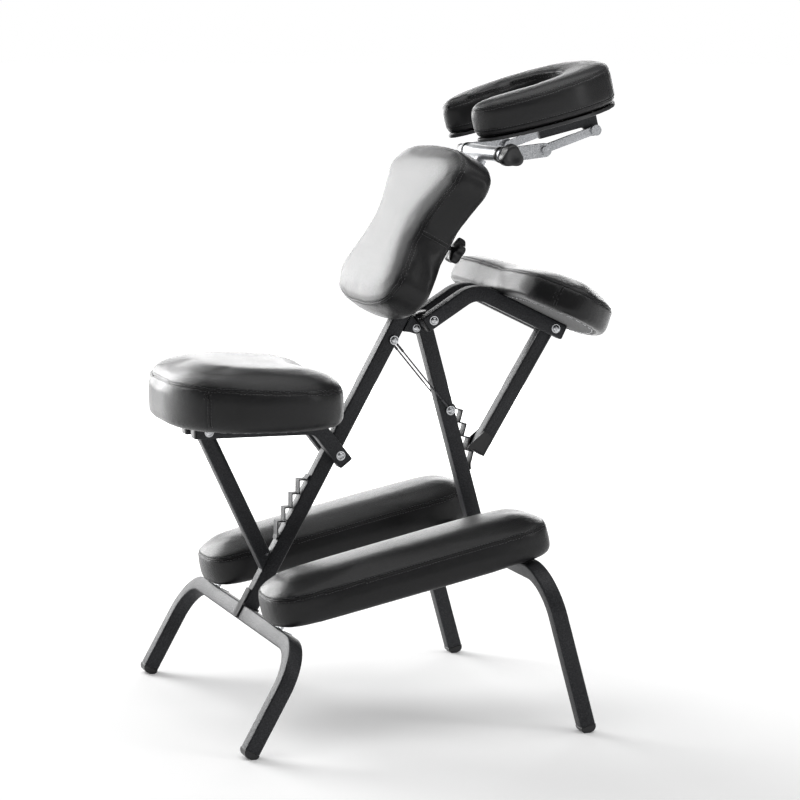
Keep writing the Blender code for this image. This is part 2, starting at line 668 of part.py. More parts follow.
def armrest():
    place = front_to_chair(*ARM_PIVOT)
    axis = axis_at("armrest_axis", FOLD, (place[0] - FOLD.location.y, place[1] - FOLD.location.z))
    hinge = Vector((0, *place))
    second = Vector((0, cos(ARM_SLOPE), sin(ARM_SLOPE)))
    first = Vector((0, 0.843, 0.538)).normalized()
    strut_pivot = Vector((0, *ARM_STRUT_PIVOT))
    # where the rising and the falling stretch of the bar meet
    gap = strut_pivot - hinge
    reach = (gap.y * second.z - gap.z * second.y) / (first.y * second.z - first.z * second.y)
    corner = hinge + first * reach
    for side, tag in ((-1, "left"), (1, "right")):
        shift = Vector((side * SIDE_BAR_X, 0, 0))
        ends = [hinge - first * 0.0140 + shift, corner + shift, strut_pivot + second * 0.0150 + shift]
        bar = square_tube("armrest_bar_" + tag, filleted(ends, 0.045, 5), axis, location=-hinge)
        for where, at in (("hinge", place), ("strut", ARM_STRUT_PIVOT)):
            cutter = add_cutter("armrest_bar_%s_hole_%s" % (where, tag),
                                rod_mesh("hole", HOLE_RADIUS, -0.06, 0.06, "X", *at), CHAIR)
            boolean(bar, cutter)
    normal = Vector((0, -second.z, second.y))
    origin = strut_pivot - second * ((strut_pivot.y - 0.100) / second.y) + normal * (TUBE / 2 + GAP)
    outline = smooth_loop(mirrored(ARM_HALF), 2)
    turn = (ARM_SLOPE, 0, 0)
    board = slab_mesh("armrest_board", inset(outline, 0.0145), 0.0, BOARD)
    add_part("armrest_board", board, "plywood", axis, origin - hinge, turn)
    rings = [(0.008, 0.0), (0.002, 0.007), (0.0, 0.020), (0.003, 0.039), (0.012, 0.048),
             (0.028, 0.056), (0.050, 0.060)]
    pad = cushion_mesh("armrest_pad", outline, rings, recess=(0.0140, BOARD + GAP))
    add_part("armrest_pad", pad, "black vinyl", axis, origin - hinge, turn)
    add_part("armrest_strut_bolt", bolt_mesh("armrest_strut_bolt", SIDE_BAR_X + TUBE / 2 + GAP),
             "zinc", axis, strut_pivot - hinge)
    armrest_strut(axis, hinge, strut_pivot)


def armrest_strut(armrest_axis, hinge, pivot):
    """The prop under the armrest: its hook sits in the lowest step of the front ratchet."""
    axis = empty("armrest_strut_axis", armrest_axis, pivot - hinge)
    foot = Vector((0, *front_to_chair(0.0330, 0.4130)))
    direction = (foot - pivot).normalized()
    length = (foot - pivot).length
    angle = atan2(direction.y, -direction.z)
    half = TUBE / 2
    prop("armrest_strut", axis, angle, -length)
    # two cheeks that reach to the post, with the pin between them
    pin = Vector((0, *front_to_chair(0.0214, 0.4251)))
    pin_local = Matrix.Rotation(-angle, 3, "X") @ (pin - pivot)
    outline = [(-half + 0.004, -length + 0.003), (0.006, -length + 0.003), (0.006, -length + 0.034),
               (-half + 0.002, -length + 0.036), (pin_local.y - 0.005, pin_local.z + 0.004),
               (pin_local.y - 0.005, pin_local.z - 0.004)]
    low = TUBE / 2 + GAP
    hook = add_part("armrest_strut_hook", slab_mesh("hook", outline, low, low + 0.0020, "YZ"), "black plastic",
                    axis, (0, 0, 0), (angle, 0, 0))
    other = slab_mesh("hook_other", outline, -low - 0.0020, -low, "YZ")
    boolean(hook, add_cutter("hook_other", other, axis, (0, 0, 0), (angle, 0, 0)), "UNION")
    cross = rod_mesh("hook_pin", 0.0025, -low - 0.0010, low + 0.0010, "X", pin_local.y, pin_local.z, 16)
    boolean(hook, add_cutter("hook_pin", cross, axis, (0, 0, 0), (angle, 0, 0)), "UNION")


# ---- chest pad ----
CHEST_HALF = [(0.0, 0.705), (0.070, 0.709), (0.118, 0.724), (0.143, 0.756), (0.136, 0.793),
              (0.121, 0.832), (0.122, 0.868), (0.141, 0.905), (0.162, 0.942), (0.151, 0.977),
              (0.100, 0.997), (0.0, 1.003)]


def chest():
    axis = empty("chest_slide", REAR)
    inner, outer = 0.0133, 0.0163
    low, high = 0.7900, 0.9300
    bracket = add_part("chest_bracket", box_mesh("chest_bracket", (-outer, -outer, low),
                                                 (outer, outer, high)), "grey paint", axis)
    boolean(bracket, add_cutter("chest_bracket_bore", box_mesh("bore", (-inner, -inner, low - 0.02),
                                                               (inner, inner, high + 0.02)), REAR))
    flange = box_mesh("flange", (-0.050, -outer - 0.0025, low), (0.050, -outer + 0.0005, high))
    boolean(bracket, add_cutter("chest_flange", flange, axis), "UNION")
    knob_along = 0.8610
    stud = rod_mesh("stud", 0.0046, 0.010, 0.030, "Y", 0, 0, 20)
    stud.transform(Matrix.Translation((0, 0, knob_along)))
    boolean(bracket, add_cutter("chest_bracket_stud_hole", stud, REAR))
    back = outer + 0.0025 + GAP
    turn = (pi / 2, 0, 0)
    outline = smooth_loop(mirrored(CHEST_HALF), 2)
    board = slab_mesh("chest_board", inset(outline, 0.0145), 0.0, BOARD)
    add_part("chest_board", board, "plywood", axis, (0, -back, 0), turn)
    rings = [(0.010, 0.0), (0.002, 0.008), (-0.001, 0.028), (0.003, 0.053), (0.010, 0.061),
             (0.022, 0.069), (0.036, 0.073)]
    pad = cushion_mesh("chest_pad", outline, rings, recess=(0.0140, BOARD + GAP))
    add_part("chest_pad", pad, "black vinyl", axis, (0, -back, 0), turn)
    knob_axis = empty("chest_knob_axis", axis, (0, 0, knob_along))
    add_part("chest_knob", knob_mesh("chest_knob", 0.0235, 5, outer - 0.0034, 0.0245, 0.0430),
             "black plastic", knob_axis)


def knob_mesh(name, radius, lobes, stud_start, grip_start, grip_end):
    """A lobed grip on a stud, along +Y: the grip's edge is a wavy circle."""
    bm = bmesh.new()
    count = lobes * 8
    sections = [(stud_start, 0.0040, 0.0), (grip_start, 0.0040, 0.0), (grip_start, 0.40, 0.05),
                (grip_start + 0.0030, 0.95, 0.12), (grip_end - 0.0030, 1.0, 0.14),
                (grip_end, 0.80, 0.10)]
    stack = []
    for y, size, wave in sections:
        ring = []
        for i in range(count):
            a = 2 * pi * i / count
            r = size if size < 0.01 else radius * size * (1 - wave + wave * cos(lobes * a))
            ring.append(bm.verts.new((r * sin(a), y, r * cos(a))))
        stack.append(ring)
    for near, far in zip(stack, stack[1:]):
        for i in range(count):
            j = (i + 1) % count
            bm.faces.new((near[i], near[j], far[j], far[i]))
    bm.faces.new(list(reversed(stack[0])))
    bm.faces.new(stack[-1])
    return smooth(to_mesh(name, bm), 35)


# ---- face cradle ----
CRADLE_HALF_OUTER = [(0.0, 0.134), (0.060, 0.125), (0.106, 0.093), (0.131, 0.040), (0.135, -0.022),
                     (0.126, -0.072), (0.104, -0.111), (0.073, -0.132)]
CRADLE_HALF_INNER = [(0.050, -0.127), (0.040, -0.097), (0.045, -0.050), (0.051, -0.005),
                     (0.040, 0.038), (0.0, 0.056)]


def crescent():
    half = CRADLE_HALF_OUTER + CRADLE_HALF_INNER
    return smooth_loop(half + [(-x, y) for x, y in reversed(half[1:-1])], 2)


def cradle():
    slide = empty("cradle_slide", REAR)
    half_tube = 0.0120
    stem_top = CRADLE_AXIS - half_tube - GAP
    add_part("cradle_stem", rod_mesh("cradle_stem", STEM_RADIUS, 0.8250, stem_top, "Z"), "silver paint", slide)
    add_part("cradle_cross_tube", rod_mesh("cradle_cross_tube", half_tube, -0.0800, 0.0800, "X", 0,
                                           CRADLE_AXIS), "silver paint", slide)
    cap = rod_mesh("cradle_cross_cap", 0.0100, -0.1080, -0.0886, "X", 0, CRADLE_AXIS)
    add_part("cradle_cross_cap", cap, "black plastic", slide)
    place = rear_to_chair(0.0, CRADLE_AXIS)
    swing = axis_at("cradle_arm_axis", CHAIR, place)
    knob_axis = axis_at("cradle_knob_axis", CHAIR, place)
    knob = knob_mesh("cradle_cam_knob", 0.0205, 3, 0.0887, 0.1020, 0.1280)
    add_part("cradle_cam_knob", knob, "black plastic", knob_axis, (0, 0, 0), (0, 0, -pi / 2))
    cradle_arms(swing, place)


def plate_arm(outline_ends, width, low, high, name):
    """A flat arm with round ends between two points."""
    a, b = (Vector(p) for p in outline_ends)
    run = (b - a).normalized()
    outline = []
    start = atan2(run.y, run.x)
    for centre, first in ((b, start - pi / 2), (a, start + pi / 2)):
        for i in range(9):
            angle = first + pi * i / 8
            outline.append((centre.x + width * cos(angle), centre.y + width * sin(angle)))
    return slab_mesh(name, outline, low, high, "YZ")


def cradle_arms(swing, place):
    """Arms, links and the tilting plate, each on its own axis."""
    link_axis = empty("cradle_link_axis", swing, Vector((0, *CRADLE_BOLT)) - Vector((0, *place)))
    tilt_axis = empty("cradle_tilt_axis", link_axis, Vector((0, *CRADLE_DISC)) - Vector((0, *CRADLE_BOLT)))
    for side, tag in ((-1, "left"), (1, "right")):
        def across(near, far):
            return tuple(sorted((side * near, side * far)))
        arm = add_part("cradle_arm_" + tag, plate_arm((place, CRADLE_BOLT), 0.0115, *across(0.0803, 0.0883), "arm"),
                       "silver paint", swing, away_from(place))
        cutter = add_cutter("cradle_arm_hole_" + tag, rod_mesh("hole", 0.0043, *across(0.07, 0.10), "X",
                                                               *CRADLE_BOLT), CHAIR)
        boolean(arm, cutter)
        link = add_part("cradle_link_" + tag, plate_arm((CRADLE_BOLT, CRADLE_DISC), 0.0068,
                                                        *across(0.0722, 0.0798), "link"),
                        "silver paint", link_axis, away_from(CRADLE_BOLT))
        pieces = [("pin", 0.0040, across(0.0760, 0.0900), CRADLE_BOLT), ("head", 0.0068, across(0.0886, 0.0920), CRADLE_BOLT),
                  ("disc", 0.0090, across(0.0790, 0.0850), CRADLE_DISC), ("stub", 0.0040, across(0.0630, 0.0760), CRADLE_DISC)]
        for label, radius, span, at in pieces:
            piece = rod_mesh(label, radius, *span, "X", *at)
            boolean(link, add_cutter("cradle_link_%s_%s" % (label, tag), piece, link_axis,
                                     away_from(CRADLE_BOLT)), "UNION")
        tilt_bracket(tag, across(0.0640, 0.0717), tilt_axis)
    plate_location = Vector((0, *CRADLE_PLATE)) - Vector((0, *CRADLE_DISC))
    turn = (CRADLE_TILT, 0, 0)
    outline = crescent()
    plate = slab_mesh("cradle_plate", inset(outline, 0.0050), 0.0, 0.0055)
    add_part("cradle_plate", plate, "black plastic", tilt_axis, plate_location, turn)
    rings = [(0.009, 0.0060), (0.002, 0.012), (0.0, 0.032), (0.003, 0.054), (0.010, 0.064),
             (0.020, 0.070)]
    pad = cushion_mesh("cradle_pad", outline, rings, slope=-0.050)
    add_part("cradle_pad", pad, "black vinyl", tilt_axis,
             plate_location, turn)


def tilt_bracket(tag, span, tilt_axis):
    """The bracket under the plate, from its ear on the disc to its front slot."""
    offset = Matrix.Rotation(-CRADLE_TILT, 3, "X") @ (Vector((0, *CRADLE_DISC)) - Vector((0, *CRADLE_PLATE)))
    u, h = offset.y, offset.z
    radius = 0.0100
    ear = [(u + radius * cos(a), h + radius * sin(a)) for a in (-pi * i / 8 for i in range(9))]
    low = -0.0205
    outline = [(-0.026, -GAP), (u + radius, -GAP)] + ear + [(u - 0.018, low), (-0.026, low)]
    location = Vector((0, *CRADLE_PLATE)) - Vector((0, *CRADLE_DISC))
    bracket = add_part("cradle_bracket_" + tag, slab_mesh("bracket", outline, *span, "YZ"), "grey paint",
                       tilt_axis, location, (CRADLE_TILT, 0, 0))
    reach = rod_mesh("hole", 0.0043, min(span) - 0.01, max(span) + 0.01, "X", *CRADLE_DISC)
    boolean(bracket, add_cutter("cradle_bracket_hole_" + tag, reach, CHAIR))


clear_scene()
PARTS = collection("kneeling_massage_chair")
CUTTERS = collection("cutters")
CHAIR = empty("chair", None, (0, CHAIR_Y, 0))
REAR = empty("rear_frame", CHAIR, (0, REAR_FOOT_Y, 0), -REAR_LEAN)
FOLD = axis_at("fold_axis", CHAIR, rear_to_chair(*FOLD_PIVOT))
FRONT = empty("front_frame", FOLD, Vector((0, FRONT_FOOT_Y, 0)) - FOLD.location, FRONT_LEAN)
rear_frame()
front_frame()
cables()
knee_assembly()
seat()
armrest()
chest()
cradle()
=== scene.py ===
"""Kneeling massage chair, the looks: stitched vinyl pads, hammertone steel, backing cloth, zinc and cable."""
import json
from math import atan2, cos, hypot, pi, radians, sin, tan

import bmesh
import bpy
import numpy as np
from mathutils import Matrix, Vector
from mathutils.bvhtree import BVHTree
from mathutils.kdtree import KDTree

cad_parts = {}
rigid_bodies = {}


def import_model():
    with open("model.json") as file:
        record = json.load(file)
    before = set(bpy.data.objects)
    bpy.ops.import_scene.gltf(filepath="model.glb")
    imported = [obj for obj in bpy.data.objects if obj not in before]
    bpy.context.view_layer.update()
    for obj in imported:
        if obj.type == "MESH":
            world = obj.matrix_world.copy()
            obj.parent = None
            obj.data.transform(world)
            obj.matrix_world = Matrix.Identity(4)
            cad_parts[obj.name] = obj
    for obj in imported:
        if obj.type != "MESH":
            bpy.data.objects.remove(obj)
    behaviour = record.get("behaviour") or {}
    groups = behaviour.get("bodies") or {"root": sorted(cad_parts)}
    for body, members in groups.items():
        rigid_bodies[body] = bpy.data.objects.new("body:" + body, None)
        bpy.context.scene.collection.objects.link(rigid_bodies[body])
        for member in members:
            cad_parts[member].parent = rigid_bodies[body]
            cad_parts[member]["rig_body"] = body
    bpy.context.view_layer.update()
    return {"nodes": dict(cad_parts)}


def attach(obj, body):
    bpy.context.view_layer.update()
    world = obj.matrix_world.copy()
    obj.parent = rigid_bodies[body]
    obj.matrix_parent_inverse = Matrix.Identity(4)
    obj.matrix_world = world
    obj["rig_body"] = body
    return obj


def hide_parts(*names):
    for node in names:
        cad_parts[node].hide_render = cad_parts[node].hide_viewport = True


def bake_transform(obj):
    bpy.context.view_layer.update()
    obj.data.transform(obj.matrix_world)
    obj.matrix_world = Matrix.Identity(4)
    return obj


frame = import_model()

# ---- the chair's dimensions, metres and degrees, the same as in its CAD source ----
CHAIR_Y = 0.058
TUBE = 0.025
TUBE_ROUND = 0.003
GAP = 0.0003
BEND_RADIUS = 0.067
LEG_OUTER_X = 0.310
LEG_END = 0.0128
REAR_LEAN, REAR_FOOT_Y, REAR_BAR, POST_TOP = radians(28.6), -0.3788, 0.1805, 0.995
FRONT_LEAN, FRONT_FOOT_Y, FRONT_BAR, FRONT_POST_TOP = radians(15.85), 0.1845, 0.2625, 0.664
SEAT_PIVOT, FOLD_PIVOT, REAR_CABLE_BOLT = (0.006, 0.478), (0.030, 0.719), (0.005, 0.6844)
ARM_PIVOT, FRONT_CABLE_BOLT = (0.007, 0.6545), (0.0042, 0.4975)
SEAT_STRUT_PIVOT, ARM_STRUT_PIVOT = (-0.3650, 0.4635), (0.2262, 0.6125)
SIDE_BAR_X = 0.0272
SEAT_Y, SEAT_BAR_Z = -0.3000, 0.4650
ARM_SLOPE = radians(-25.6)
KNEE_X, KNEE_PIVOT, KNEE_LIFT = 0.173, (-0.0095, 0.1965), 0.0030
CHEST_BACK = 0.0191
CRADLE_AXIS, CRADLE_TILT, CRADLE_PLATE = 1.0249, radians(14.0), (0.2000, 0.9512)

X_AXIS, Y_AXIS, Z_AXIS = Vector((1, 0, 0)), Vector((0, 1, 0)), Vector((0, 0, 1))
CHAIR = Matrix.Translation((0, CHAIR_Y, 0))
REAR = CHAIR @ Matrix.Translation((0, REAR_FOOT_Y, 0)) @ Matrix.Rotation(-REAR_LEAN, 4, "X")
FRONT = CHAIR @ Matrix.Translation((0, FRONT_FOOT_Y, 0)) @ Matrix.Rotation(FRONT_LEAN, 4, "X")

# ---- pad outlines, right half, from the centreline round to the centreline ----
SEAT_HALF = [(0, -0.141), (0.055, -0.140), (0.098, -0.129), (0.138, -0.103), (0.167, -0.058),
             (0.178, 0), (0.177, 0.050), (0.165, 0.091), (0.140, 0.123), (0.108, 0.140),
             (0.074, 0.143), (0.042, 0.128), (0, 0.110)]
KNEE_HALF = [(0, -0.018), (0.045, -0.010), (0.071, 0.018), (0.080, 0.075), (0.082, 0.200),
             (0.083, 0.330), (0.078, 0.410), (0.060, 0.448), (0.030, 0.463), (0, 0.466)]
ARM_HALF = [(0, 0.020), (0.090, 0.009), (0.165, 0.009), (0.212, 0.026), (0.250, 0.051), (0.259, 0.077),
            (0.248, 0.108), (0.218, 0.142), (0.168, 0.168), (0.092, 0.195), (0, 0.211)]
CHEST_HALF = [(0, 0.705), (0.070, 0.709), (0.118, 0.724), (0.143, 0.756), (0.136, 0.793),
              (0.121, 0.832), (0.122, 0.868), (0.141, 0.905), (0.162, 0.942), (0.151, 0.977),
              (0.100, 0.997), (0, 1.003)]
CRADLE_HALF = [(0, 0.134), (0.060, 0.125), (0.106, 0.093), (0.131, 0.040), (0.135, -0.022),
               (0.126, -0.072), (0.104, -0.111), (0.073, -0.132), (0.050, -0.127), (0.040, -0.097),
               (0.045, -0.050), (0.051, -0.005), (0.040, 0.038), (0, 0.056)]


# ---- finishes ----
def new_finish(name, colour, **uniform):
    """A material; uniform values go straight to the shader's own sockets."""
    made = bpy.data.materials.new(name)
    made.use_nodes = True
    shader = made.node_tree.nodes["Principled BSDF"]
    shader.inputs["Base Color"].default_value = (*colour, 1)
    for socket, value in uniform.items():
        shader.inputs[socket.replace("_", " ")].default_value = value
    return made


def add_node(finish, kind, inputs=None, **settings):
    made = finish.node_tree.nodes.new(kind)
    for key, value in settings.items():
        setattr(made, key, value)
    for key, value in (inputs or {}).items():
        if isinstance(value, bpy.types.NodeSocket):
            finish.node_tree.links.new(value, made.inputs[key])
        else:
            made.inputs[key].default_value = value
    return made


def place_in(finish, stretch=(1, 1, 1)):
    """Coordinates in metres, stretched along some axes for a grain that runs one way."""
    coordinates = add_node(finish, "ShaderNodeTexCoord")
    return add_node(finish, "ShaderNodeMapping", {"Vector": coordinates.outputs["Object"],
                                                  "Scale": stretch}).outputs[0]


def noise(finish, place, scale, detail=3.0, distortion=0.0):
    return add_node(finish, "ShaderNodeTexNoise", {"Vector": place, "Scale": scale, "Detail": detail,
                                                   "Distortion": distortion}).outputs[0]


def cells(finish, place, scale, feature="F1"):
    return add_node(finish, "ShaderNodeTexVoronoi", {"Vector": place, "Scale": scale},
                    feature=feature).outputs["Distance"]


def between(finish, value, low, high, out_low, out_high):
    return add_node(finish, "ShaderNodeMapRange", {"Value": value, "From Min": low, "From Max": high,
                                                   "To Min": out_low, "To Max": out_high}).outputs[0]


def math_of(finish, operation, a, b):
    return add_node(finish, "ShaderNodeMath", {0: a, 1: b}, operation=operation).outputs[0]


def colour_by(finish, value, stops):
    """Colour from a value, through (position, colour) stops."""
    ramp = add_node(finish, "ShaderNodeValToRGB", {"Fac": value})
    ends = ramp.color_ramp.elements
    while len(ends) < len(stops):
        ends.new(0.5)
    for end, (position, colour) in zip(ends, stops):
        end.position = position
        end.color = (*colour, 1)
    return ramp.outputs["Color"]


def wire_up(finish, colour=None, roughness=None, heights=()):
    """Links a colour, a roughness and a chain of (height, depth in metres, strength) bumps."""
    shader = finish.node_tree.nodes["Principled BSDF"]
    links = finish.node_tree.links
    if colour is not None:
        links.new(colour, shader.inputs["Base Color"])
    if roughness is not None:
        links.new(roughness, shader.inputs["Roughness"])
    normal = None
    for height, depth, strength in heights:
        inputs = {"Height": height, "Distance": depth, "Strength": strength}
        if normal is not None:
            inputs["Normal"] = normal
        normal = add_node(finish, "ShaderNodeBump", inputs).outputs[0]
    if normal is not None:
        links.new(normal, shader.inputs["Normal"])
    return finish


def hammertone(name, dark, light, metallic, rough):
    """Sprayed hammertone paint: shallow round dimples, thin wear and a little dust."""
    finish = new_finish(name, light, Metallic=metallic, Coat_Weight=0.05, Coat_Roughness=0.30,
                        Specular_IOR_Level=0.25)
    place = place_in(finish)
    wavy = noise(finish, place, 120.0, 2.0)
    dimples = cells(finish, place, 520.0, "SMOOTH_F1")
    broad = noise(finish, place, 9.0, 4.0)
    scuffs = noise(finish, place_in(finish, (1, 1, 0.12)), 190.0, 5.0, 0.6)
    mixed = math_of(finish, "ADD", math_of(finish, "MULTIPLY", dimples, 0.55),
                    math_of(finish, "MULTIPLY", broad, 0.45))
    colour = colour_by(finish, mixed, [(0.25, dark), (0.62, light)])
    roughness = math_of(finish, "ADD", between(finish, broad, 0.3, 0.7, rough - 0.05, rough + 0.07),
                        between(finish, scuffs, 0.62, 0.75, 0.0, 0.14))
    return wire_up(finish, colour, roughness, [(dimples, 0.0008, 0.60), (wavy, 0.0005, 0.20)])


def vinyl():
    """Black coated upholstery vinyl with a fine leather grain, puckered beside its seams."""
    finish = new_finish("black_vinyl", (0.008, 0.008, 0.009), Coat_Weight=0.15, Coat_Roughness=0.24,
                        Specular_IOR_Level=0.30)
    place = place_in(finish)
    creases = cells(finish, place, 620.0, "DISTANCE_TO_EDGE")
    pebble = between(finish, creases, 0.0, 0.16, 0.0, 1.0)
    fine = noise(finish, place, 900.0, 3.0)
    broad = noise(finish, place, 13.0, 3.0)
    slack = noise(finish, place, 42.0, 2.0, 0.4)
    pucker = add_node(finish, "ShaderNodeAttribute", attribute_name="pucker").outputs["Fac"]
    folds = noise(finish, place, 150.0, 1.0, 0.8)
    gathered = math_of(finish, "MULTIPLY", folds, pucker)
    colour = colour_by(finish, broad, [(0.3, (0.0045, 0.0045, 0.005)), (0.7, (0.008, 0.008, 0.009))])
    roughness = math_of(finish, "ADD", between(finish, broad, 0.3, 0.7, 0.33, 0.39),
                        between(finish, fine, 0.3, 0.7, -0.02, 0.04))
    bumps = [(slack, 0.0030, 0.05), (gathered, 0.0035, 0.30), (pebble, 0.00022, 0.55), (fine, 0.0001, 0.3)]
    return wire_up(finish, colour, roughness, bumps)


def plastic(name, colour, rough, grain=1400.0):
    """Moulded plastic or rubber with a spark-eroded texture and faint handling marks."""
    finish = new_finish(name, colour)
    place = place_in(finish)
    texture = noise(finish, place, grain, 2.0)
    marks = noise(finish, place, 55.0, 5.0, 0.5)
    lighter = tuple(1.7 * c for c in colour)
    shade = colour_by(finish, marks, [(0.35, colour), (0.75, lighter)])
    roughness = between(finish, marks, 0.3, 0.75, rough - 0.06, rough + 0.10)
    return wire_up(finish, shade, roughness, [(texture, 0.0002, 0.35), (marks, 0.0003, 0.12)])


def plated(name, colour, rough):
    """Bright zinc plating with turned scratches and a slight tarnish."""
    finish = new_finish(name, colour, Metallic=1.0)
    place = place_in(finish)
    tarnish = noise(finish, place, 90.0, 4.0)
    scratches = noise(finish, place_in(finish, (9, 1, 1)), 260.0, 4.0)
    darker = tuple(0.72 * c for c in colour)
    shade = colour_by(finish, tarnish, [(0.35, darker), (0.6, colour)])
    roughness = between(finish, tarnish, 0.3, 0.7, rough, rough + 0.14)
    return wire_up(finish, shade, roughness, [(scratches, 0.0001, 0.25)])


def thread():
    finish = new_finish("stitching_thread", (0.030, 0.030, 0.033), Sheen_Weight=0.3, Roughness=0.55)
    place = place_in(finish)
    fibres = noise(finish, place, 3200.0, 2.0)
    shade = colour_by(finish, noise(finish, place, 240.0, 2.0),
                      [(0.3, (0.020, 0.020, 0.022)), (0.7, (0.052, 0.052, 0.056))])
    return wire_up(finish, shade, None, [(fibres, 0.0001, 0.6)])


def felt():
    """Black non-woven backing cloth, stapled over the underside of a board."""
    finish = new_finish("black_backing_cloth", (0.016, 0.016, 0.017), Roughness=0.92, Sheen_Weight=0.25)
    place = place_in(finish)
    fibres = noise(finish, place, 1300.0, 5.0, 2.5)
    bonds = cells(finish, place, 900.0)
    shade = colour_by(finish, fibres, [(0.35, (0.011, 0.011, 0.012)), (0.68, (0.030, 0.030, 0.031))])
    return wire_up(finish, shade, None, [(fibres, 0.0003, 0.6), (bonds, 0.0002, 0.3)])


def steel_cable():
    finish = new_finish("steel_cable", (0.10, 0.10, 0.105), Metallic=0.7, Coat_Weight=0.3)
    place = place_in(finish)
    shade = colour_by(finish, noise(finish, place, 500.0, 3.0),
                      [(0.35, (0.030, 0.030, 0.032)), (0.7, (0.13, 0.13, 0.14))])
    return wire_up(finish, shade, between(finish, noise(finish, place, 130.0, 3.0), 0.3, 0.7, 0.28, 0.45))


PAINT = hammertone("grey_hammertone", (0.012, 0.0125, 0.014), (0.040, 0.041, 0.045), 0.12, 0.46)
SILVER = hammertone("silver_hammertone", (0.30, 0.31, 0.325), (0.56, 0.57, 0.59), 0.75, 0.32)
VINYL = vinyl()
BLACK = plastic("black_plastic", (0.012, 0.012, 0.013), 0.36)
RUBBER = plastic("black_rubber", (0.018, 0.018, 0.019), 0.68, 700.0)
ZINC = plated("zinc_plate", (0.74, 0.75, 0.77), 0.20)
FELT = felt()
THREAD = thread()
CABLE = steel_cable()


# ---- mesh helpers ----
def link(name, mesh):
    made = bpy.data.objects.new(name, mesh)
    bpy.context.scene.collection.objects.link(made)
    return made


def add_piece(name, mesh, finish, body, place=None, nodes=()):
    """A finished piece: its mesh is put in place, painted, and rides on a body."""
    if place is not None:
        mesh.transform(place)
    mesh.materials.clear()
    mesh.materials.append(finish)
    piece = link(name, mesh)
    if nodes:
        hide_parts(*nodes)
    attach(piece, body)
    return piece


def mesh_from(bm, name="shape", angle=35):
    bmesh.ops.recalc_face_normals(bm, faces=bm.faces)
    mesh = bpy.data.meshes.new(name)
    bm.to_mesh(mesh)
    bm.free()
    mesh.shade_smooth()
    mesh.set_sharp_from_angle(angle=radians(angle))
    return mesh


def merged(meshes, name="shape", angle=35):
    bm = bmesh.new()
    for mesh in meshes:
        bm.from_mesh(mesh)
    return mesh_from(bm, name, angle)


def evaluated_mesh(thing):
    """The mesh with its modifiers applied; the helper object is then removed."""
    bpy.context.view_layer.update()
    graph = bpy.context.evaluated_depsgraph_get()
    mesh = bpy.data.meshes.new_from_object(thing.evaluated_get(graph))
    bpy.data.objects.remove(thing, do_unlink=True)
    return mesh


def smooth_loop(points, per_span):
    """A closed smooth curve through the points."""
    loop = []
    for i in range(len(points)):
        a, b, c, d = (Vector(points[(i + k) % len(points)]) for k in (-1, 0, 1, 2))
        for step in range(per_span):
            t = step / per_span
            loop.append(0.5 * (2 * b + (c - a) * t + (2 * a - 5 * b + 4 * c - d) * t * t
                               + (3 * b - a - 3 * c + d) * t ** 3))
    return [(p.x, p.y) for p in loop]


def outline_of(half, per_span=5):
    return smooth_loop(list(half) + [(-x, y) for x, y in reversed(half[1:-1])], per_span)


def inset(outline, distance):
    """The outline moved inwards along its corner normals."""
    area = sum(a[0] * b[1] - b[0] * a[1] for a, b in zip(outline, outline[1:] + outline[:1]))
    side = 1 if area > 0 else -1
    moved = []
    for i, point in enumerate(outline):
        along = (Vector(outline[(i + 1) % len(outline)]) - Vector(outline[i - 1])).normalized()
        moved.append((point[0] - side * along.y * distance, point[1] + side * along.x * distance))
    return moved


def rounded_square(half, radius, steps=4):
    points = []
    for corner, (sx, sy) in enumerate(((1, 1), (-1, 1), (-1, -1), (1, -1))):
        for step in range(steps + 1):
            angle = (corner + step / steps) * pi / 2
            points.append((sx * (half - radius) + radius * cos(angle),
                           sy * (half - radius) + radius * sin(angle)))
    return points


def circle(radius, sides=12):
    return [(radius * cos(2 * pi * i / sides), radius * sin(2 * pi * i / sides)) for i in range(sides)]


def filleted(corners, radius, steps=14):
    """A path with its inner corners rounded."""
    path = [Vector(corners[0])]
    for before, corner, after in zip(corners, corners[1:], corners[2:]):
        a, c, b = Vector(before), Vector(corner), Vector(after)
        to_a, to_b = (a - c).normalized(), (b - c).normalized()
        half = to_a.angle(to_b) / 2
        centre = c + (to_a + to_b).normalized() * (radius / sin(half))
        start, end = c + to_a * (radius / tan(half)), c + to_b * (radius / tan(half))
        path += [centre + (start - centre).slerp(end - centre, step / steps).normalized() * radius
                 for step in range(steps + 1)]
    path.append(Vector(corners[-1]))
    return path


def sweep(path, section, across, closed=False, twist=0.0, sizes=None, angle=35):
    """A section moved along a path. across is the section's first axis, one for all or one for each point."""
    bm = bmesh.new()
    count = len(path)
    rings = []
    for i, point in enumerate(path):
        before = path[i - 1] if i or closed else point
        after = path[(i + 1) % count] if i < count - 1 or closed else point
        run = (after - before).normalized()
        first = across[i] if isinstance(across, list) else across
        first = (first - run * first.dot(run)).normalized()
        second = run.cross(first)
        size = sizes[i] if sizes else 1.0
        c, s = cos(twist * i), sin(twist * i)
        turned = [(size * (u * c - v * s), size * (u * s + v * c)) for u, v in section]
        rings.append([bm.verts.new(point + first * u + second * v) for u, v in turned])
    pairs = list(zip(rings, rings[1:])) + ([(rings[-1], rings[0])] if closed else [])
    for a, b in pairs:
        for i in range(len(section)):
            j = (i + 1) % len(section)
            bm.faces.new((a[i], a[j], b[j], b[i]))
    if not closed:
        bm.faces.new(list(reversed(rings[0])))
        bm.faces.new(rings[-1])
    return mesh_from(bm, angle=angle)


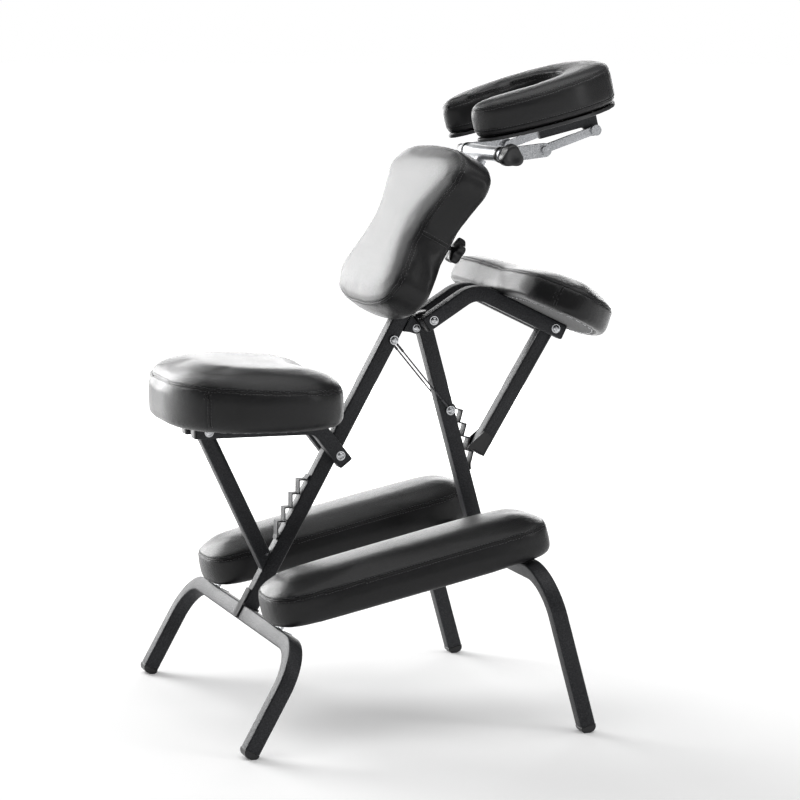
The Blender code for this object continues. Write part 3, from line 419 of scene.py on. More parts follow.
def turned(profile, sides=32, angle=35):
    """A turned shape about Z, from a profile of (radius, height)."""
    bm = bmesh.new()
    rings = []
    for radius, height in profile:
        places = circle(radius, sides) if radius else [(0, 0)]
        rings.append([bm.verts.new((x, y, height)) for x, y in places])
    for upper, lower in zip(rings, rings[1:]):
        for i in range(sides):
            j = (i + 1) % sides
            corners = [upper[i % len(upper)], upper[j % len(upper)],
                       lower[j % len(lower)], lower[i % len(lower)]]
            bm.faces.new(list(dict.fromkeys(corners)))
    for ring in (rings[0], rings[-1]):
        if len(ring) > 1:
            bm.faces.new(ring)
    return mesh_from(bm, angle=angle)


def along_x(mesh, x=0.0, flip=False):
    """Turns a shape that stands on Z to point along X."""
    mesh.transform(Matrix.Translation((x, 0, 0)) @ Matrix.Rotation(-pi / 2 if flip else pi / 2, 4, "Y"))
    return mesh


def softened(node, finish, width=0.0008, segments=2):
    """The node's own form with its edges rolled over, as bent, cast or moulded pieces have them."""
    bm = bmesh.new()
    bm.from_mesh(frame["nodes"][node].data)
    bmesh.ops.remove_doubles(bm, verts=bm.verts, dist=0.00002)
    flat = [e for e in bm.edges if len(e.link_faces) == 2 and e.calc_face_angle(1.0) < radians(0.6)]
    bmesh.ops.dissolve_edges(bm, edges=flat, use_verts=True)
    thing = link(node + "_form", mesh_from(bm))
    bevel = thing.modifiers.new("rolled edge", "BEVEL")
    bevel.width = width
    bevel.segments = segments
    bevel.limit_method = "ANGLE"
    bevel.angle_limit = radians(38)
    bevel.use_clamp_overlap = True
    bevel.harden_normals = True
    return add_piece(node + "_finished", evaluated_mesh(thing), finish, frame["nodes"][node]["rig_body"],
                     nodes=(node,))


# ---- repeated small shapes, set along paths by one node tree ----
def scatter_tree():
    tree = bpy.data.node_groups.new("shapes on points", "GeometryNodeTree")
    sockets = [("Points", "NodeSocketGeometry"), ("Shape", "NodeSocketObject"),
               ("Finish", "NodeSocketMaterial")]
    for label, kind in sockets:
        tree.interface.new_socket(label, in_out="INPUT", socket_type=kind)
    tree.interface.new_socket("Result", in_out="OUTPUT", socket_type="NodeSocketGeometry")
    nodes, links = tree.nodes, tree.links
    start = nodes.new("NodeGroupInput")
    shape = nodes.new("GeometryNodeObjectInfo")
    links.new(start.outputs["Shape"], shape.inputs["Object"])
    turn = nodes.new("FunctionNodeAxesToRotation")
    turn.primary_axis, turn.secondary_axis = "Z", "X"
    for label, socket in (("up", 0), ("along", 1)):
        read = nodes.new("GeometryNodeInputNamedAttribute")
        read.data_type = "FLOAT_VECTOR"
        read.inputs["Name"].default_value = label
        links.new(read.outputs["Attribute"], turn.inputs[socket])
    put = nodes.new("GeometryNodeInstanceOnPoints")
    links.new(start.outputs["Points"], put.inputs["Points"])
    links.new(shape.outputs["Geometry"], put.inputs["Instance"])
    links.new(turn.outputs[0], put.inputs["Rotation"])
    whole = nodes.new("GeometryNodeRealizeInstances")
    links.new(put.outputs[0], whole.inputs[0])
    paint = nodes.new("GeometryNodeSetMaterial")
    links.new(whole.outputs[0], paint.inputs["Geometry"])
    links.new(start.outputs["Finish"], paint.inputs["Material"])
    links.new(paint.outputs[0], nodes.new("NodeGroupOutput").inputs[0])
    return tree


SCATTER = scatter_tree()


def scattered(shape_mesh, spots, finish):
    """Copies of a shape on (place, up, along) spots, as one plain mesh."""
    points = bpy.data.meshes.new("spots")
    points.from_pydata([tuple(place) for place, _, _ in spots], [], [])
    for label, column in (("up", 1), ("along", 2)):
        values = points.attributes.new(label, "FLOAT_VECTOR", "POINT")
        values.data.foreach_set("vector", [c for spot in spots for c in spot[column]])
    shape = link("shape", shape_mesh)
    carrier = link("spots", points)
    modifier = carrier.modifiers.new("shapes", "NODES")
    modifier.node_group = SCATTER
    for item in SCATTER.interface.items_tree:
        if item.in_out == "INPUT" and item.name == "Shape":
            modifier[item.identifier] = shape
        if item.in_out == "INPUT" and item.name == "Finish":
            modifier[item.identifier] = finish
    mesh = evaluated_mesh(carrier)
    bpy.data.objects.remove(shape, do_unlink=True)
    mesh.shade_smooth()
    return mesh


def stitch_shape(length=0.0034, radius=0.00042):
    """One stitch: a short thread that dives at both ends."""
    spots = [(-0.5, -0.9, 0.55), (-0.3, 0.35, 1.0), (0.0, 0.6, 1.0), (0.3, 0.35, 1.0), (0.5, -0.9, 0.55)]
    path = [Vector((x * length, 0, h * radius)) for x, h, _ in spots]
    return sweep(path, circle(radius, 6), Vector((0, 1, 0)), sizes=[size for _, _, size in spots], angle=80)


# ---- padded pieces ----
def resampled(points, step, closed):
    """Evenly spaced points along a path."""
    points = np.array([tuple(p) for p in points] + ([tuple(points[0])] if closed else []))
    lengths = np.concatenate([[0], np.cumsum(np.linalg.norm(np.diff(points, axis=0), axis=1))])
    count = max(3, int(round(lengths[-1] / step)))
    places = np.linspace(0, lengths[-1], count + 1)[:count + (0 if closed else 1)]
    return [Vector(p) for p in np.stack([np.interp(places, lengths, points[:, k]) for k in range(3)], 1)]


def depth_inside(places, outline):
    """How far each plan position is from the outline."""
    ends = np.array(outline)
    nearest = np.full(len(places), 1e9)
    for a, b in zip(ends, np.roll(ends, -1, axis=0)):
        run = b - a
        t = np.clip(((places - a) @ run) / (run @ run), 0, 1)
        nearest = np.minimum(nearest, np.linalg.norm(places - a - t[:, None] * run, axis=1))
    return nearest


def coordinates(mesh, what="co"):
    values = np.empty(len(mesh.vertices) * 3, np.float32)
    mesh.vertices.foreach_get(what, values)
    return values.reshape(-1, 3).astype(float)


def set_coordinates(mesh, places):
    mesh.vertices.foreach_set("co", places.astype(np.float32).ravel())
    mesh.update()


def evened(mesh, shift, times):
    """A field of moves averaged with its neighbours, so that the cover stays smooth."""
    ends = np.empty(len(mesh.edges) * 2, np.int64)
    mesh.edges.foreach_get("vertices", ends)
    one, other = ends[0::2], ends[1::2]
    count = np.bincount(ends, minlength=len(shift))[:, None]
    for _ in range(times):
        total = np.zeros_like(shift)
        np.add.at(total, one, shift[other])
        np.add.at(total, other, shift[one])
        shift = 0.5 * shift + 0.5 * total / count
    return shift


def swollen(mesh, held, cap):
    """Blows the cover up like foam under tension, with its lower edge held, and caps how far it moves."""
    before = coordinates(mesh)
    thing = link("cover", mesh)
    group = thing.vertex_groups.new(name="held")
    group.add([int(i) for i in np.flatnonzero(held)], 1.0, "REPLACE")
    cloth = thing.modifiers.new("cover", "CLOTH")
    settings = cloth.settings
    settings.quality = 4
    settings.mass = 0.25
    settings.tension_stiffness = 18
    settings.compression_stiffness = 18
    settings.bending_stiffness = 1.2
    settings.use_pressure = True
    settings.uniform_pressure_force = 4.0
    settings.vertex_group_mass = "held"
    settings.effector_weights.gravity = 0
    cloth.collision_settings.use_self_collision = False
    for number in range(1, 21):
        bpy.context.scene.frame_set(number)
    made = evaluated_mesh(thing)
    bpy.context.scene.frame_set(1)
    shift = evened(made, coordinates(made) - before, 10)
    far = np.linalg.norm(shift, axis=1, keepdims=True)
    set_coordinates(made, before + shift * (cap / (far + cap)))
    return made


def relaxed(mesh, times):
    bm = bmesh.new()
    bm.from_mesh(mesh)
    for _ in range(times):
        bmesh.ops.smooth_vert(bm, verts=bm.verts, factor=0.5, use_axis_x=True, use_axis_y=True,
                              use_axis_z=True)
    bm.to_mesh(mesh)
    bm.free()
    return mesh


def cushion_form(outline, rings, slope, shrink):
    """The closed form a cover starts from: the outline stacked through (inset, height) rings."""
    bm = bmesh.new()
    top = max(height for _, height in rings)
    stack = []
    for distance, height in rings:
        tighter = distance + shrink * min(1.0, height / 0.02)
        ring = []
        for x, y in inset(outline, tighter):
            lift = -slope * y * min(1.0, max(0.0, (height - 0.012) / (top * 0.5)))
            ring.append(bm.verts.new((x, y, height - shrink * height / top + lift)))
        stack.append(ring)
    for lower, upper in zip(stack, stack[1:]):
        for i in range(len(outline)):
            j = (i + 1) % len(outline)
            bm.faces.new((lower[i], lower[j], upper[j], upper[i]))
    bm.faces.new(list(reversed(stack[0])))
    bm.faces.new(stack[-1])
    return mesh_from(bm)


def snapped(path, tree, lift=0.0):
    """Path points moved onto the surface, with the surface's outward directions there."""
    places, ups = [], []
    for point in path:
        place, up, _, _ = tree.find_nearest(point)
        places.append(place + up * lift)
        ups.append(up)
    return places, ups


def surface_tree(mesh):
    return BVHTree.FromPolygons([v.co for v in mesh.vertices], [tuple(p.vertices) for p in mesh.polygons])


def sewn(mesh, paths, reach=0.0045, depth=0.0010):
    """Draws the cover in along each seam and marks how near every point is to one."""
    tree = surface_tree(mesh)
    spots = []
    for path, closed in paths:
        places, _ = snapped(resampled(path, 0.0015, closed), tree)
        spots += places
    near = KDTree(len(spots))
    for i, spot in enumerate(spots):
        near.insert(spot, i)
    near.balance()
    places, normals = coordinates(mesh), coordinates(mesh, "normal")
    far = np.array([near.find(Vector(p))[2] for p in places])
    t = np.clip(1 - far / reach, 0, 1)
    set_coordinates(mesh, places - normals * (depth * t * t * (3 - 2 * t))[:, None])
    mark = mesh.attributes.new("pucker", "FLOAT", "POINT")
    mark.data.foreach_set("value", np.exp(-far / 0.011).astype(np.float32))


def seam_run(path, closed, tree, bead):
    """The bead of a seam, lying in its groove."""
    places, ups = snapped(resampled(path, 0.004, closed), tree, bead * 0.35)
    return sweep(places, circle(bead, 8), ups, closed, angle=80)


def stitch_spots(path, closed, tree, offset, step=0.0048):
    """Spots for a row of stitches beside a seam."""
    places, ups = snapped(resampled(path, step, closed), tree)
    spots = []
    for i, (place, up) in enumerate(zip(places, ups)):
        last = len(places) - 1
        after = places[(i + 1) % len(places)] if closed or i < last else place
        before = places[i - 1] if closed or i else place
        run = (after - before).normalized()
        beside, normal, _, _ = tree.find_nearest(place + run.cross(up).normalized() * offset)
        spots.append((beside + normal * 0.0001, normal, run))
    return spots


def ring_path(outline, distance, height, slope=0.0, top=0.1):
    """A closed seam round a pad, at one inset and height."""
    share = min(1.0, max(0.0, (height - 0.012) / (top * 0.5)))
    return [Vector((x, y, height - slope * y * share)) for x, y in inset(outline, distance)], True


def staples(name, body, place, outline, board_inset):
    """The staples that hold the cover and its backing to the underside of the board."""
    line = [Vector((x, y, -0.0003)) for x, y in inset(outline, board_inset + 0.008)]
    places = resampled(line, 0.019, True)
    down = Vector((0, 0, -1))
    spots = [(at, down, (places[(i + 1) % len(places)] - places[i - 1]).normalized())
             for i, at in enumerate(places)]
    corners = [(-0.0052, -0.0006), (-0.0050, 0.0005), (0.0050, 0.0005), (0.0052, -0.0006)]
    wire = sweep([Vector((x, 0, z)) for x, z in corners], circle(0.00045, 6), Y_AXIS, angle=80)
    add_piece(name + "_staples", scattered(wire, spots, ZINC), ZINC, body, place)


def pad(name, nodes, board_inset, body, place, outline, rings, crown, cap, seams, slope=0.0,
        voxel=0.0046):
    """A stuffed vinyl pad with its seams, beads and stitches. seams are (path, closed, bead, offsets)."""
    start = link(name + "_form", cushion_form(outline, rings, slope, 0.0025))
    remesh = start.modifiers.new("even mesh", "REMESH")
    remesh.mode = "VOXEL"
    remesh.voxel_size = voxel
    remesh.use_smooth_shade = True
    mesh = relaxed(evaluated_mesh(start), 4)
    places = coordinates(mesh)
    top = max(height for _, height in rings)
    inside = depth_inside(places[:, :2], outline)
    share = np.clip(places[:, 2] / top, 0, 1) ** 3
    reach = 0.085
    dome = 1 - (1 - np.clip(inside / reach, 0, 1)) ** 2
    places[:, 2] += crown * share * (dome - 0.3)
    set_coordinates(mesh, places)
    mesh = swollen(mesh, coordinates(mesh)[:, 2] < 0.012, cap)
    finer = link(name + "_cover", mesh)
    rounded = finer.modifiers.new("finer", "SUBSURF")
    rounded.levels = rounded.render_levels = 1
    mesh = evaluated_mesh(finer)
    # under the board's edge the cover is drawn flat, and the board hides what is above it
    places = coordinates(mesh)
    inside = depth_inside(places[:, :2], outline)
    low = places[:, 2] < 0.008
    places[low & (inside > board_inset + 0.003), 2] = 0.0045
    set_coordinates(mesh, places)
    sewn(mesh, [(path, closed) for path, closed, _, _ in seams])
    tree = surface_tree(mesh)
    beads = [seam_run(path, closed, tree, bead) for path, closed, bead, _ in seams if bead]
    spots = [spot for path, closed, _, offsets in seams for offset in offsets
             for spot in stitch_spots(path, closed, tree, offset)]
    if board_inset < 0.1:
        staples(name, body, place, outline, board_inset)
    mesh.shade_smooth()
    cushion = add_piece(name + "_cushion", mesh, VINYL, body, place, nodes)
    if beads:
        add_piece(name + "_seam_beads", merged(beads, angle=80), VINYL, body, place)
    if spots:
        add_piece(name + "_stitches", scattered(stitch_shape(), spots, THREAD), THREAD, body, place)


def seat_pad():
    outline = outline_of(SEAT_HALF)
    rings = [(0.012, 0.0), (0.003, 0.008), (0.0, 0.022), (0.0, 0.050), (0.0015, 0.064),
             (0.005, 0.0705), (0.012, 0.0795), (0.030, 0.0880), (0.060, 0.0930)]
    base = SEAT_BAR_Z + TUBE / 2 + GAP
    slope = 0.045
    top_seam, closed = ring_path(outline, 0.002, 0.0655, slope, 0.095)
    seams = [(top_seam, closed, 0.0008, (-0.0030, 0.0030))]
    for side in (-1, 1):
        wall = [Vector((side * 0.150, -0.105, h)) for h in (0.006, 0.020, 0.035, 0.050, 0.066)]
        seams.append((wall, False, 0.0009, (-0.0032, 0.0032)))
    pad("seat", ("seat_pad",), 0.0145, "seat", CHAIR @ Matrix.Translation((0, SEAT_Y, base)), outline,
        rings, 0.006, 0.0026, seams, slope)


def knee_pads():
    outline = outline_of(KNEE_HALF)
    rings = [(0.009, 0.0), (0.002, 0.006), (0.0, 0.016), (0.0, 0.040), (0.001, 0.048), (0.005, 0.0535),
             (0.016, 0.0595), (0.032, 0.0665), (0.048, 0.0700)]
    pivot = REAR @ Vector((0, *KNEE_PIVOT))
    rest = FRONT @ Vector((0, 0.011, FRONT_BAR + TUBE / 2 + 0.0030 + 2 * GAP))
    reach = hypot(rest.y - pivot.y, rest.z - pivot.z)
    tilt = atan2(rest.z - pivot.z, rest.y - pivot.y) - KNEE_LIFT / reach
    seams = [(*ring_path(outline, 0.0015, 0.0485, 0.0, 0.07), 0.0009, (-0.0032, 0.0032))]
    for side, tag in ((-1, "left"), (1, "right")):
        place = (Matrix.Translation((side * KNEE_X, pivot.y, pivot.z)) @ Matrix.Rotation(tilt, 4, "X")
                 @ Matrix.Translation((0, 0, KNEE_LIFT)))
        pad("knee_" + tag, ("knee_pad_" + tag,), 0.0125, "knee_" + tag, place, outline, rings, 0.005,
            0.0024, seams)


def arm_place():
    """The armrest pad's own frame, on the falling stretch of its bars."""
    second = Vector((0, cos(ARM_SLOPE), sin(ARM_SLOPE)))
    normal = Vector((0, -second.z, second.y))
    strut = Vector((0, *ARM_STRUT_PIVOT))
    origin = strut - second * ((strut.y - 0.100) / second.y) + normal * (TUBE / 2 + GAP)
    return CHAIR @ Matrix.Translation(origin) @ Matrix.Rotation(ARM_SLOPE, 4, "X")


def armrest_pad():
    outline = outline_of(ARM_HALF)
    rings = [(0.008, 0.0), (0.0015, 0.006), (0.0, 0.016), (0.0, 0.034), (0.0015, 0.042), (0.006, 0.0470),
             (0.018, 0.0525), (0.034, 0.0575), (0.052, 0.0600)]
    seams = [(*ring_path(outline, 0.002, 0.0430, 0.0, 0.06), 0.0008, (-0.0030, 0.0030))]
    for side in (-1, 1):
        wall = [Vector((side * 0.232, 0.030, h)) for h in (0.005, 0.014, 0.024, 0.034, 0.042)]
        seams.append((wall, False, 0.0009, (-0.0030, 0.0030)))
    pad("armrest", ("armrest_pad",), 0.0145, "armrest", arm_place(), outline, rings, 0.005, 0.0024, seams)


def chest_pad():
    outline = outline_of(CHEST_HALF)
    rings = [(0.010, 0.0), (0.002, 0.008), (0.0, 0.024), (0.0, 0.050), (0.0015, 0.0585), (0.005, 0.0630),
             (0.012, 0.0670), (0.024, 0.0710), (0.038, 0.0730)]
    seams = [(*ring_path(outline, 0.0025, 0.0600, 0.0, 0.073), 0.0008, (-0.0030, 0.0030))]
    for side in (-1, 1):
        wall = [Vector((side * 0.119, 0.850, h)) for h in (0.006, 0.018, 0.030, 0.042, 0.054)]
        seams.append((wall, False, 0.0009, (-0.0032, 0.0032)))
    place = REAR @ Matrix.Translation((0, -CHEST_BACK, 0)) @ Matrix.Rotation(pi / 2, 4, "X")
    pad("chest", ("chest_pad",), 0.0145, "chest_carriage", place, outline, rings, 0.005, 0.0024, seams)


def cradle_pad():
    outline = outline_of(CRADLE_HALF)
    rings = [(0.009, 0.0060), (0.002, 0.012), (0.0, 0.028), (0.0, 0.052), (0.002, 0.0605), (0.006, 0.0655),
             (0.012, 0.0685), (0.020, 0.0700)]
    slope = -0.050
    seams = [(*ring_path(outline, 0.002, 0.0605, slope, 0.07), 0.0008, (-0.0028, 0.0028)),
             (*ring_path(outline, 0.003, 0.016, slope, 0.07), 0.0010, (0.0030,))]
    for side in (-1, 1):
        wall = [Vector((side * 0.100, 0.100, h)) for h in (0.014, 0.024, 0.035, 0.046, 0.057)]
        seams.append((wall, False, 0.0009, (-0.0028, 0.0028)))
    place = CHAIR @ Matrix.Translation((0, *CRADLE_PLATE)) @ Matrix.Rotation(CRADLE_TILT, 4, "X")
    pad("cradle", ("cradle_pad",), 0.2, "cradle_head", place, outline, rings, 0.003, 0.0022, seams, slope,
        voxel=0.0042)


# ---- steel tubes ----
SQUARE = rounded_square(TUBE / 2, TUBE_ROUND)


def tube(name, path, across, body, place, nodes):
    return add_piece(name, sweep(path, SQUARE, across), PAINT, body, place, nodes)


def end_plug(name, at, out, body, place):
    """A moulded plug that closes a tube's end."""
    profile = [(0.0, 0.84), (0.0012, 1.0), (0.0026, 0.94), (0.0034, 0.78)]
    path = [at + out * height for height, _ in profile]
    return add_piece(name, sweep(path, SQUARE, X_AXIS, sizes=[size for _, size in profile], angle=60), BLACK,
                     body, place)


def weld_bead(name, centre_z, body, place):
    """The rippled bead round a post where it meets the crossbar."""
    path = [Vector((x, y, centre_z)) for x, y in rounded_square(TUBE / 2 + 0.0006, 0.0036, 6)]
    path = resampled(path, 0.0011, True)
    sizes = [1 + 0.16 * sin(2.1 * i) + 0.07 * sin(5.3 * i) for i in range(len(path))]
    return add_piece(name, sweep(path, circle(0.0021, 8), Z_AXIS, True, sizes=sizes, angle=80), PAINT, body,
                     place)


def leg_arch(name, node, bar_height, body, place):
    x = LEG_OUTER_X - TUBE / 2
    corners = [(-x, 0, LEG_END), (-x, 0, bar_height), (x, 0, bar_height), (x, 0, LEG_END)]
    tube(name, filleted(corners, BEND_RADIUS, 18), Y_AXIS, body, place, (node,))


def frames():
    """Both leg frames, the two posts, and their welds and plugs."""
    leg_arch("seat_side_legs", "seat_side_leg", REAR_BAR, "rear_frame", REAR)
    leg_arch("arm_side_legs", "arm_side_leg", FRONT_BAR, "front_frame", FRONT)
    for name, node, bar, top, body, place in (
            ("main_post_tube", "main_post", REAR_BAR, POST_TOP, "rear_frame", REAR),
            ("front_post_tube", "front_post", FRONT_BAR, FRONT_POST_TOP, "front_frame", FRONT)):
        foot = bar + TUBE / 2 + GAP
        tube(name, [Vector((0, 0, foot)), Vector((0, 0, top))], X_AXIS, body, place, (node,))
        weld_bead(name + "_weld", foot + 0.0006, body, place)
        end_plug(name + "_plug", Vector((0, 0, top)), Z_AXIS, body, place)


def seat_bars():
    hinge = CHAIR.inverted() @ REAR @ Vector((0, *SEAT_PIVOT))
    direction = Vector((0, -0.62, 0.785)).normalized()
    corner = hinge + direction * ((SEAT_BAR_Z - hinge.z) / direction.z)
    for side, tag in ((-1, "left"), (1, "right")):
        shift = Vector((side * SIDE_BAR_X, 0, 0))
        ends = [hinge - direction * 0.0145 + shift, corner + shift, Vector((shift.x, -0.3850, SEAT_BAR_Z))]
        tube("seat_bar_tube_" + tag, filleted(ends, 0.030), X_AXIS, "seat", CHAIR, ("seat_bar_" + tag,))
        end_plug("seat_bar_plug_" + tag, ends[2], -Y_AXIS, "seat", CHAIR)
        end_plug("seat_bar_foot_plug_" + tag, ends[0], -direction, "seat", CHAIR)


def armrest_bars():
    hinge = CHAIR.inverted() @ FRONT @ Vector((0, *ARM_PIVOT))
    second = Vector((0, cos(ARM_SLOPE), sin(ARM_SLOPE)))
    first = Vector((0, 0.843, 0.538)).normalized()
    strut = Vector((0, *ARM_STRUT_PIVOT))
    gap = strut - hinge
    along = (gap.y * second.z - gap.z * second.y) / (first.y * second.z - first.z * second.y)
    corner = hinge + first * along
    for side, tag in ((-1, "left"), (1, "right")):
        shift = Vector((side * SIDE_BAR_X, 0, 0))
        ends = [hinge - first * 0.0140 + shift, corner + shift, strut + second * 0.0150 + shift]
        tube("armrest_bar_tube_" + tag, filleted(ends, 0.045), X_AXIS, "armrest", CHAIR,
             ("armrest_bar_" + tag,))
        end_plug("armrest_bar_plug_" + tag, ends[2], second, "armrest", CHAIR)
        end_plug("armrest_bar_foot_plug_" + tag, ends[0], -first, "armrest", CHAIR)


# ---- bolts, knobs and cables ----
def bolt_head(radius, height):
    """A domed head with a cross recess, on a washer."""
    dome = [(0, height), (0.35, height * 0.985), (0.60, height * 0.90), (0.82, height * 0.68),
            (0.95, height * 0.40), (1.0, height * 0.16), (1.0, 0.0010)]
    profile = [(r * radius if r < 1 or h > 0.001 else radius, h) for r, h in dome]
    profile += [(radius * 1.19, 0.0010), (radius * 1.22, 0.0007), (radius * 1.22, 0.0)]
    thing = link("head", turned(profile, 28))
    cutters = []
    for turn in (0, pi / 2):
        bm = bmesh.new()
        bmesh.ops.create_cube(bm, size=1.0)
        bmesh.ops.scale(bm, vec=(radius * 1.1, radius * 0.24, height), verts=bm.verts)
        bmesh.ops.translate(bm, vec=(0, 0, height * 0.98), verts=bm.verts)
        bmesh.ops.rotate(bm, cent=(0, 0, 0), matrix=Matrix.Rotation(turn, 3, "Z"), verts=bm.verts)
        cutter = link("recess", mesh_from(bm))
        cutters.append(cutter)
        cut = thing.modifiers.new("recess", "BOOLEAN")
        cut.operation = "DIFFERENCE"
        cut.object = cutter
    mesh = evaluated_mesh(thing)
    for cutter in cutters:
        bpy.data.objects.remove(cutter, do_unlink=True)
    mesh.set_sharp_from_angle(angle=radians(35))
    return mesh


def bolt(node, body, centre, half_length, radius=0.0062, height=0.0042):
    """A bolt across the chair, with a head or a cap nut on each side."""
    spots = [(centre + X_AXIS * (side * half_length), X_AXIS * side, Y_AXIS) for side in (-1, 1)]
    heads = scattered(bolt_head(radius, height), spots, ZINC)
    shank = along_x(turned([(0.0040, -half_length), (0.0040, half_length)], 20))
    shank.transform(Matrix.Translation(centre))
    add_piece(node + "_hardware", merged([heads, shank]), ZINC, body, nodes=(node,))


def bolts():
    wide, narrow = SIDE_BAR_X + TUBE / 2 + GAP, TUBE / 2 + 0.0034
    bolt("seat_hinge_bolt", "rear_frame", REAR @ Vector((0, *SEAT_PIVOT)), wide)
    bolt("rear_cable_bolt", "rear_frame", REAR @ Vector((0, *REAR_CABLE_BOLT)), narrow)
    bolt("fold_pin", "rear_frame", REAR @ Vector((0, *FOLD_PIVOT)), 0.0147, 0.0054, 0.0025)
    bolt("armrest_hinge_bolt", "front_frame", FRONT @ Vector((0, *ARM_PIVOT)), wide)
    bolt("front_cable_bolt", "front_frame", FRONT @ Vector((0, *FRONT_CABLE_BOLT)), narrow)
    bolt("seat_strut_bolt", "seat", CHAIR @ Vector((0, *SEAT_STRUT_PIVOT)), wide)
    bolt("armrest_strut_bolt", "armrest", CHAIR @ Vector((0, *ARM_STRUT_PIVOT)), wide)


def knob(name, node, body, radius, lobes, stud_start, start, end, place):
    """A lobed grip with a rolled rim, a dished face and a stud, along local +Y."""
    bm = bmesh.new()
    count = lobes * 24
    depth = end - start
    sections = [(stud_start, None, 0), (start, None, 0), (start, 0.42, 0.03),
                (start + 0.08 * depth, 0.60, 0.06), (start + 0.16 * depth, 0.90, 0.11),
                (start + 0.26 * depth, 0.985, 0.135),
                (start + 0.50 * depth, 1.0, 0.14), (start + 0.74 * depth, 0.99, 0.138),
                (start + 0.88 * depth, 0.94, 0.125), (start + 0.97 * depth, 0.84, 0.10),
                (end, 0.72, 0.07), (end - 0.02 * depth, 0.50, 0.03), (end - 0.07 * depth, 0.30, 0.0),
                (end - 0.07 * depth, 0.06, 0.0)]
    stack = []
    for y, size, wave in sections:
        ring = []
        for i in range(count):
            a = 2 * pi * i / count
            r = 0.0040 if size is None else radius * size * (1 - wave + wave * cos(lobes * a))
            ring.append(bm.verts.new((r * sin(a), y, r * cos(a))))
        stack.append(ring)
    for near, far in zip(stack, stack[1:]):
        for i in range(count):
            j = (i + 1) % count
            bm.faces.new((near[i], near[j], far[j], far[i]))
    bm.faces.new(list(reversed(stack[0])))
    bm.faces.new(stack[-1])
    add_piece(name, mesh_from(bm, angle=50), BLACK, body, place, (node,))


def knobs():
    knob("chest_knob_grip", "chest_knob", "chest_lock_knob", 0.0235, 5, 0.0129, 0.0245, 0.0430,
         REAR @ Matrix.Translation((0, 0, 0.8610)))
    axis = REAR @ Vector((0, 0, CRADLE_AXIS))
    knob("cradle_knob_grip", "cradle_cam_knob", "cradle_lock_knob", 0.0205, 3, 0.0887, 0.1020, 0.1280,
         Matrix.Translation(axis) @ Matrix.Rotation(-pi / 2, 4, "Z"))


def cables():
    """Twisted steel cables with crimped ends and eyelets."""
    start, end = REAR @ Vector((0, *REAR_CABLE_BOLT)), FRONT @ Vector((0, *FRONT_CABLE_BOLT))
    run = (end - start).normalized()
    for side, tag in ((-1, "left"), (1, "right")):
        shift = X_AXIS * (side * (TUBE / 2 + 0.0017))
        a, b = start + run * 0.0060 + shift, end - run * 0.0060 + shift
        count = 150
        strand = [(r * cos(t), r * sin(t)) for t, r in
                  ((2 * pi * i / 18, 0.00108 + 0.00020 * cos(6 * 2 * pi * i / 18)) for i in range(18))]
        line = sweep([a.lerp(b, i / count) for i in range(count + 1)], strand, X_AXIS, twist=0.16, angle=80)
        cable = add_piece("cable_" + tag, line, CABLE, "rear_frame", nodes=("limit_cable_" + tag,))
        cable.parent = None
        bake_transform(cable)
        anchors = [("top", "rear_frame", start, run), ("bottom", "front_frame", end, -run)]
        for where, body, at, away in anchors:
            pinched = [(0.0, 0.80), (0.0006, 1.0), (0.0040, 1.0), (0.0055, 0.82), (0.0070, 1.0),
                       (0.0100, 1.0), (0.0115, 0.82), (0.0130, 1.0), (0.0160, 1.0), (0.0166, 0.80)]
            crimp = sweep([at + shift + away * (0.0085 + h) for h, _ in pinched], circle(0.0021, 14), X_AXIS,
                          sizes=[size for _, size in pinched])
            eye = sweep([at + shift + (Matrix.Rotation(2 * pi * i / 28, 3, "X") @ away) * 0.0062
                         for i in range(28)], circle(0.0013, 8), X_AXIS, True, angle=80)
            add_piece("cable_end_%s_%s" % (where, tag), merged([crimp, eye]), CABLE, body)


# ---- everything else keeps its CAD form, with rolled edges or a better finish ----
def small_metal():
    for node in ("seat_ratchet", "armrest_ratchet", "fold_clevis", "fold_lug", "chest_bracket"):
        softened(node, PAINT, 0.0005)
    for node in ("seat_strut", "armrest_strut"):
        softened(node, PAINT, 0.0006)
    for tag in ("left", "right"):
        softened("foot_cap_rear_" + tag, BLACK, 0.0016, 3)
        softened("foot_cap_front_" + tag, BLACK, 0.0016, 3)
        softened("knee_rest_" + tag, RUBBER, 0.0008)
        softened("knee_hinge_base_" + tag, ZINC, 0.0003)
        softened("knee_hinge_leaf_" + tag, ZINC, 0.0003)
        softened("cradle_arm_" + tag, SILVER, 0.0010, 3)
        softened("cradle_link_" + tag, SILVER, 0.0006)
        softened("cradle_bracket_" + tag, PAINT, 0.0006)
        softened("knee_board_" + tag, FELT, 0.0010)
    softened("post_guard", RUBBER, 0.0006)
    softened("armrest_strut_hook", BLACK, 0.0005)
    softened("cradle_cross_cap", BLACK, 0.0022, 4)
    softened("cradle_cross_tube", SILVER, 0.0008)
    softened("cradle_plate", BLACK, 0.0012, 3)
    softened("seat_board", FELT, 0.0010)
    softened("armrest_board", FELT, 0.0010)
    softened("chest_board", FELT, 0.0010)
    for node, finish in (("cradle_stem", SILVER), ("seat_strut_pin", ZINC)):
        thing = frame["nodes"][node]
        for place in thing.material_slots:
            place.material = finish


def cross_tube_bands():
    """Plastic bushings at the ends of the face cradle's cross tube."""
    axis = REAR @ Vector((0, 0, CRADLE_AXIS))
    profile = [(0.0122, -0.0040), (0.0134, -0.0032), (0.0136, 0.0), (0.0134, 0.0032), (0.0122, 0.0040)]
    for side, tag in ((-1, "left"), (1, "right")):
        band = along_x(turned(profile, 40), side * 0.0745)
        add_piece("cross_tube_band_" + tag, band, BLACK, "cradle_mast", Matrix.Translation(axis))


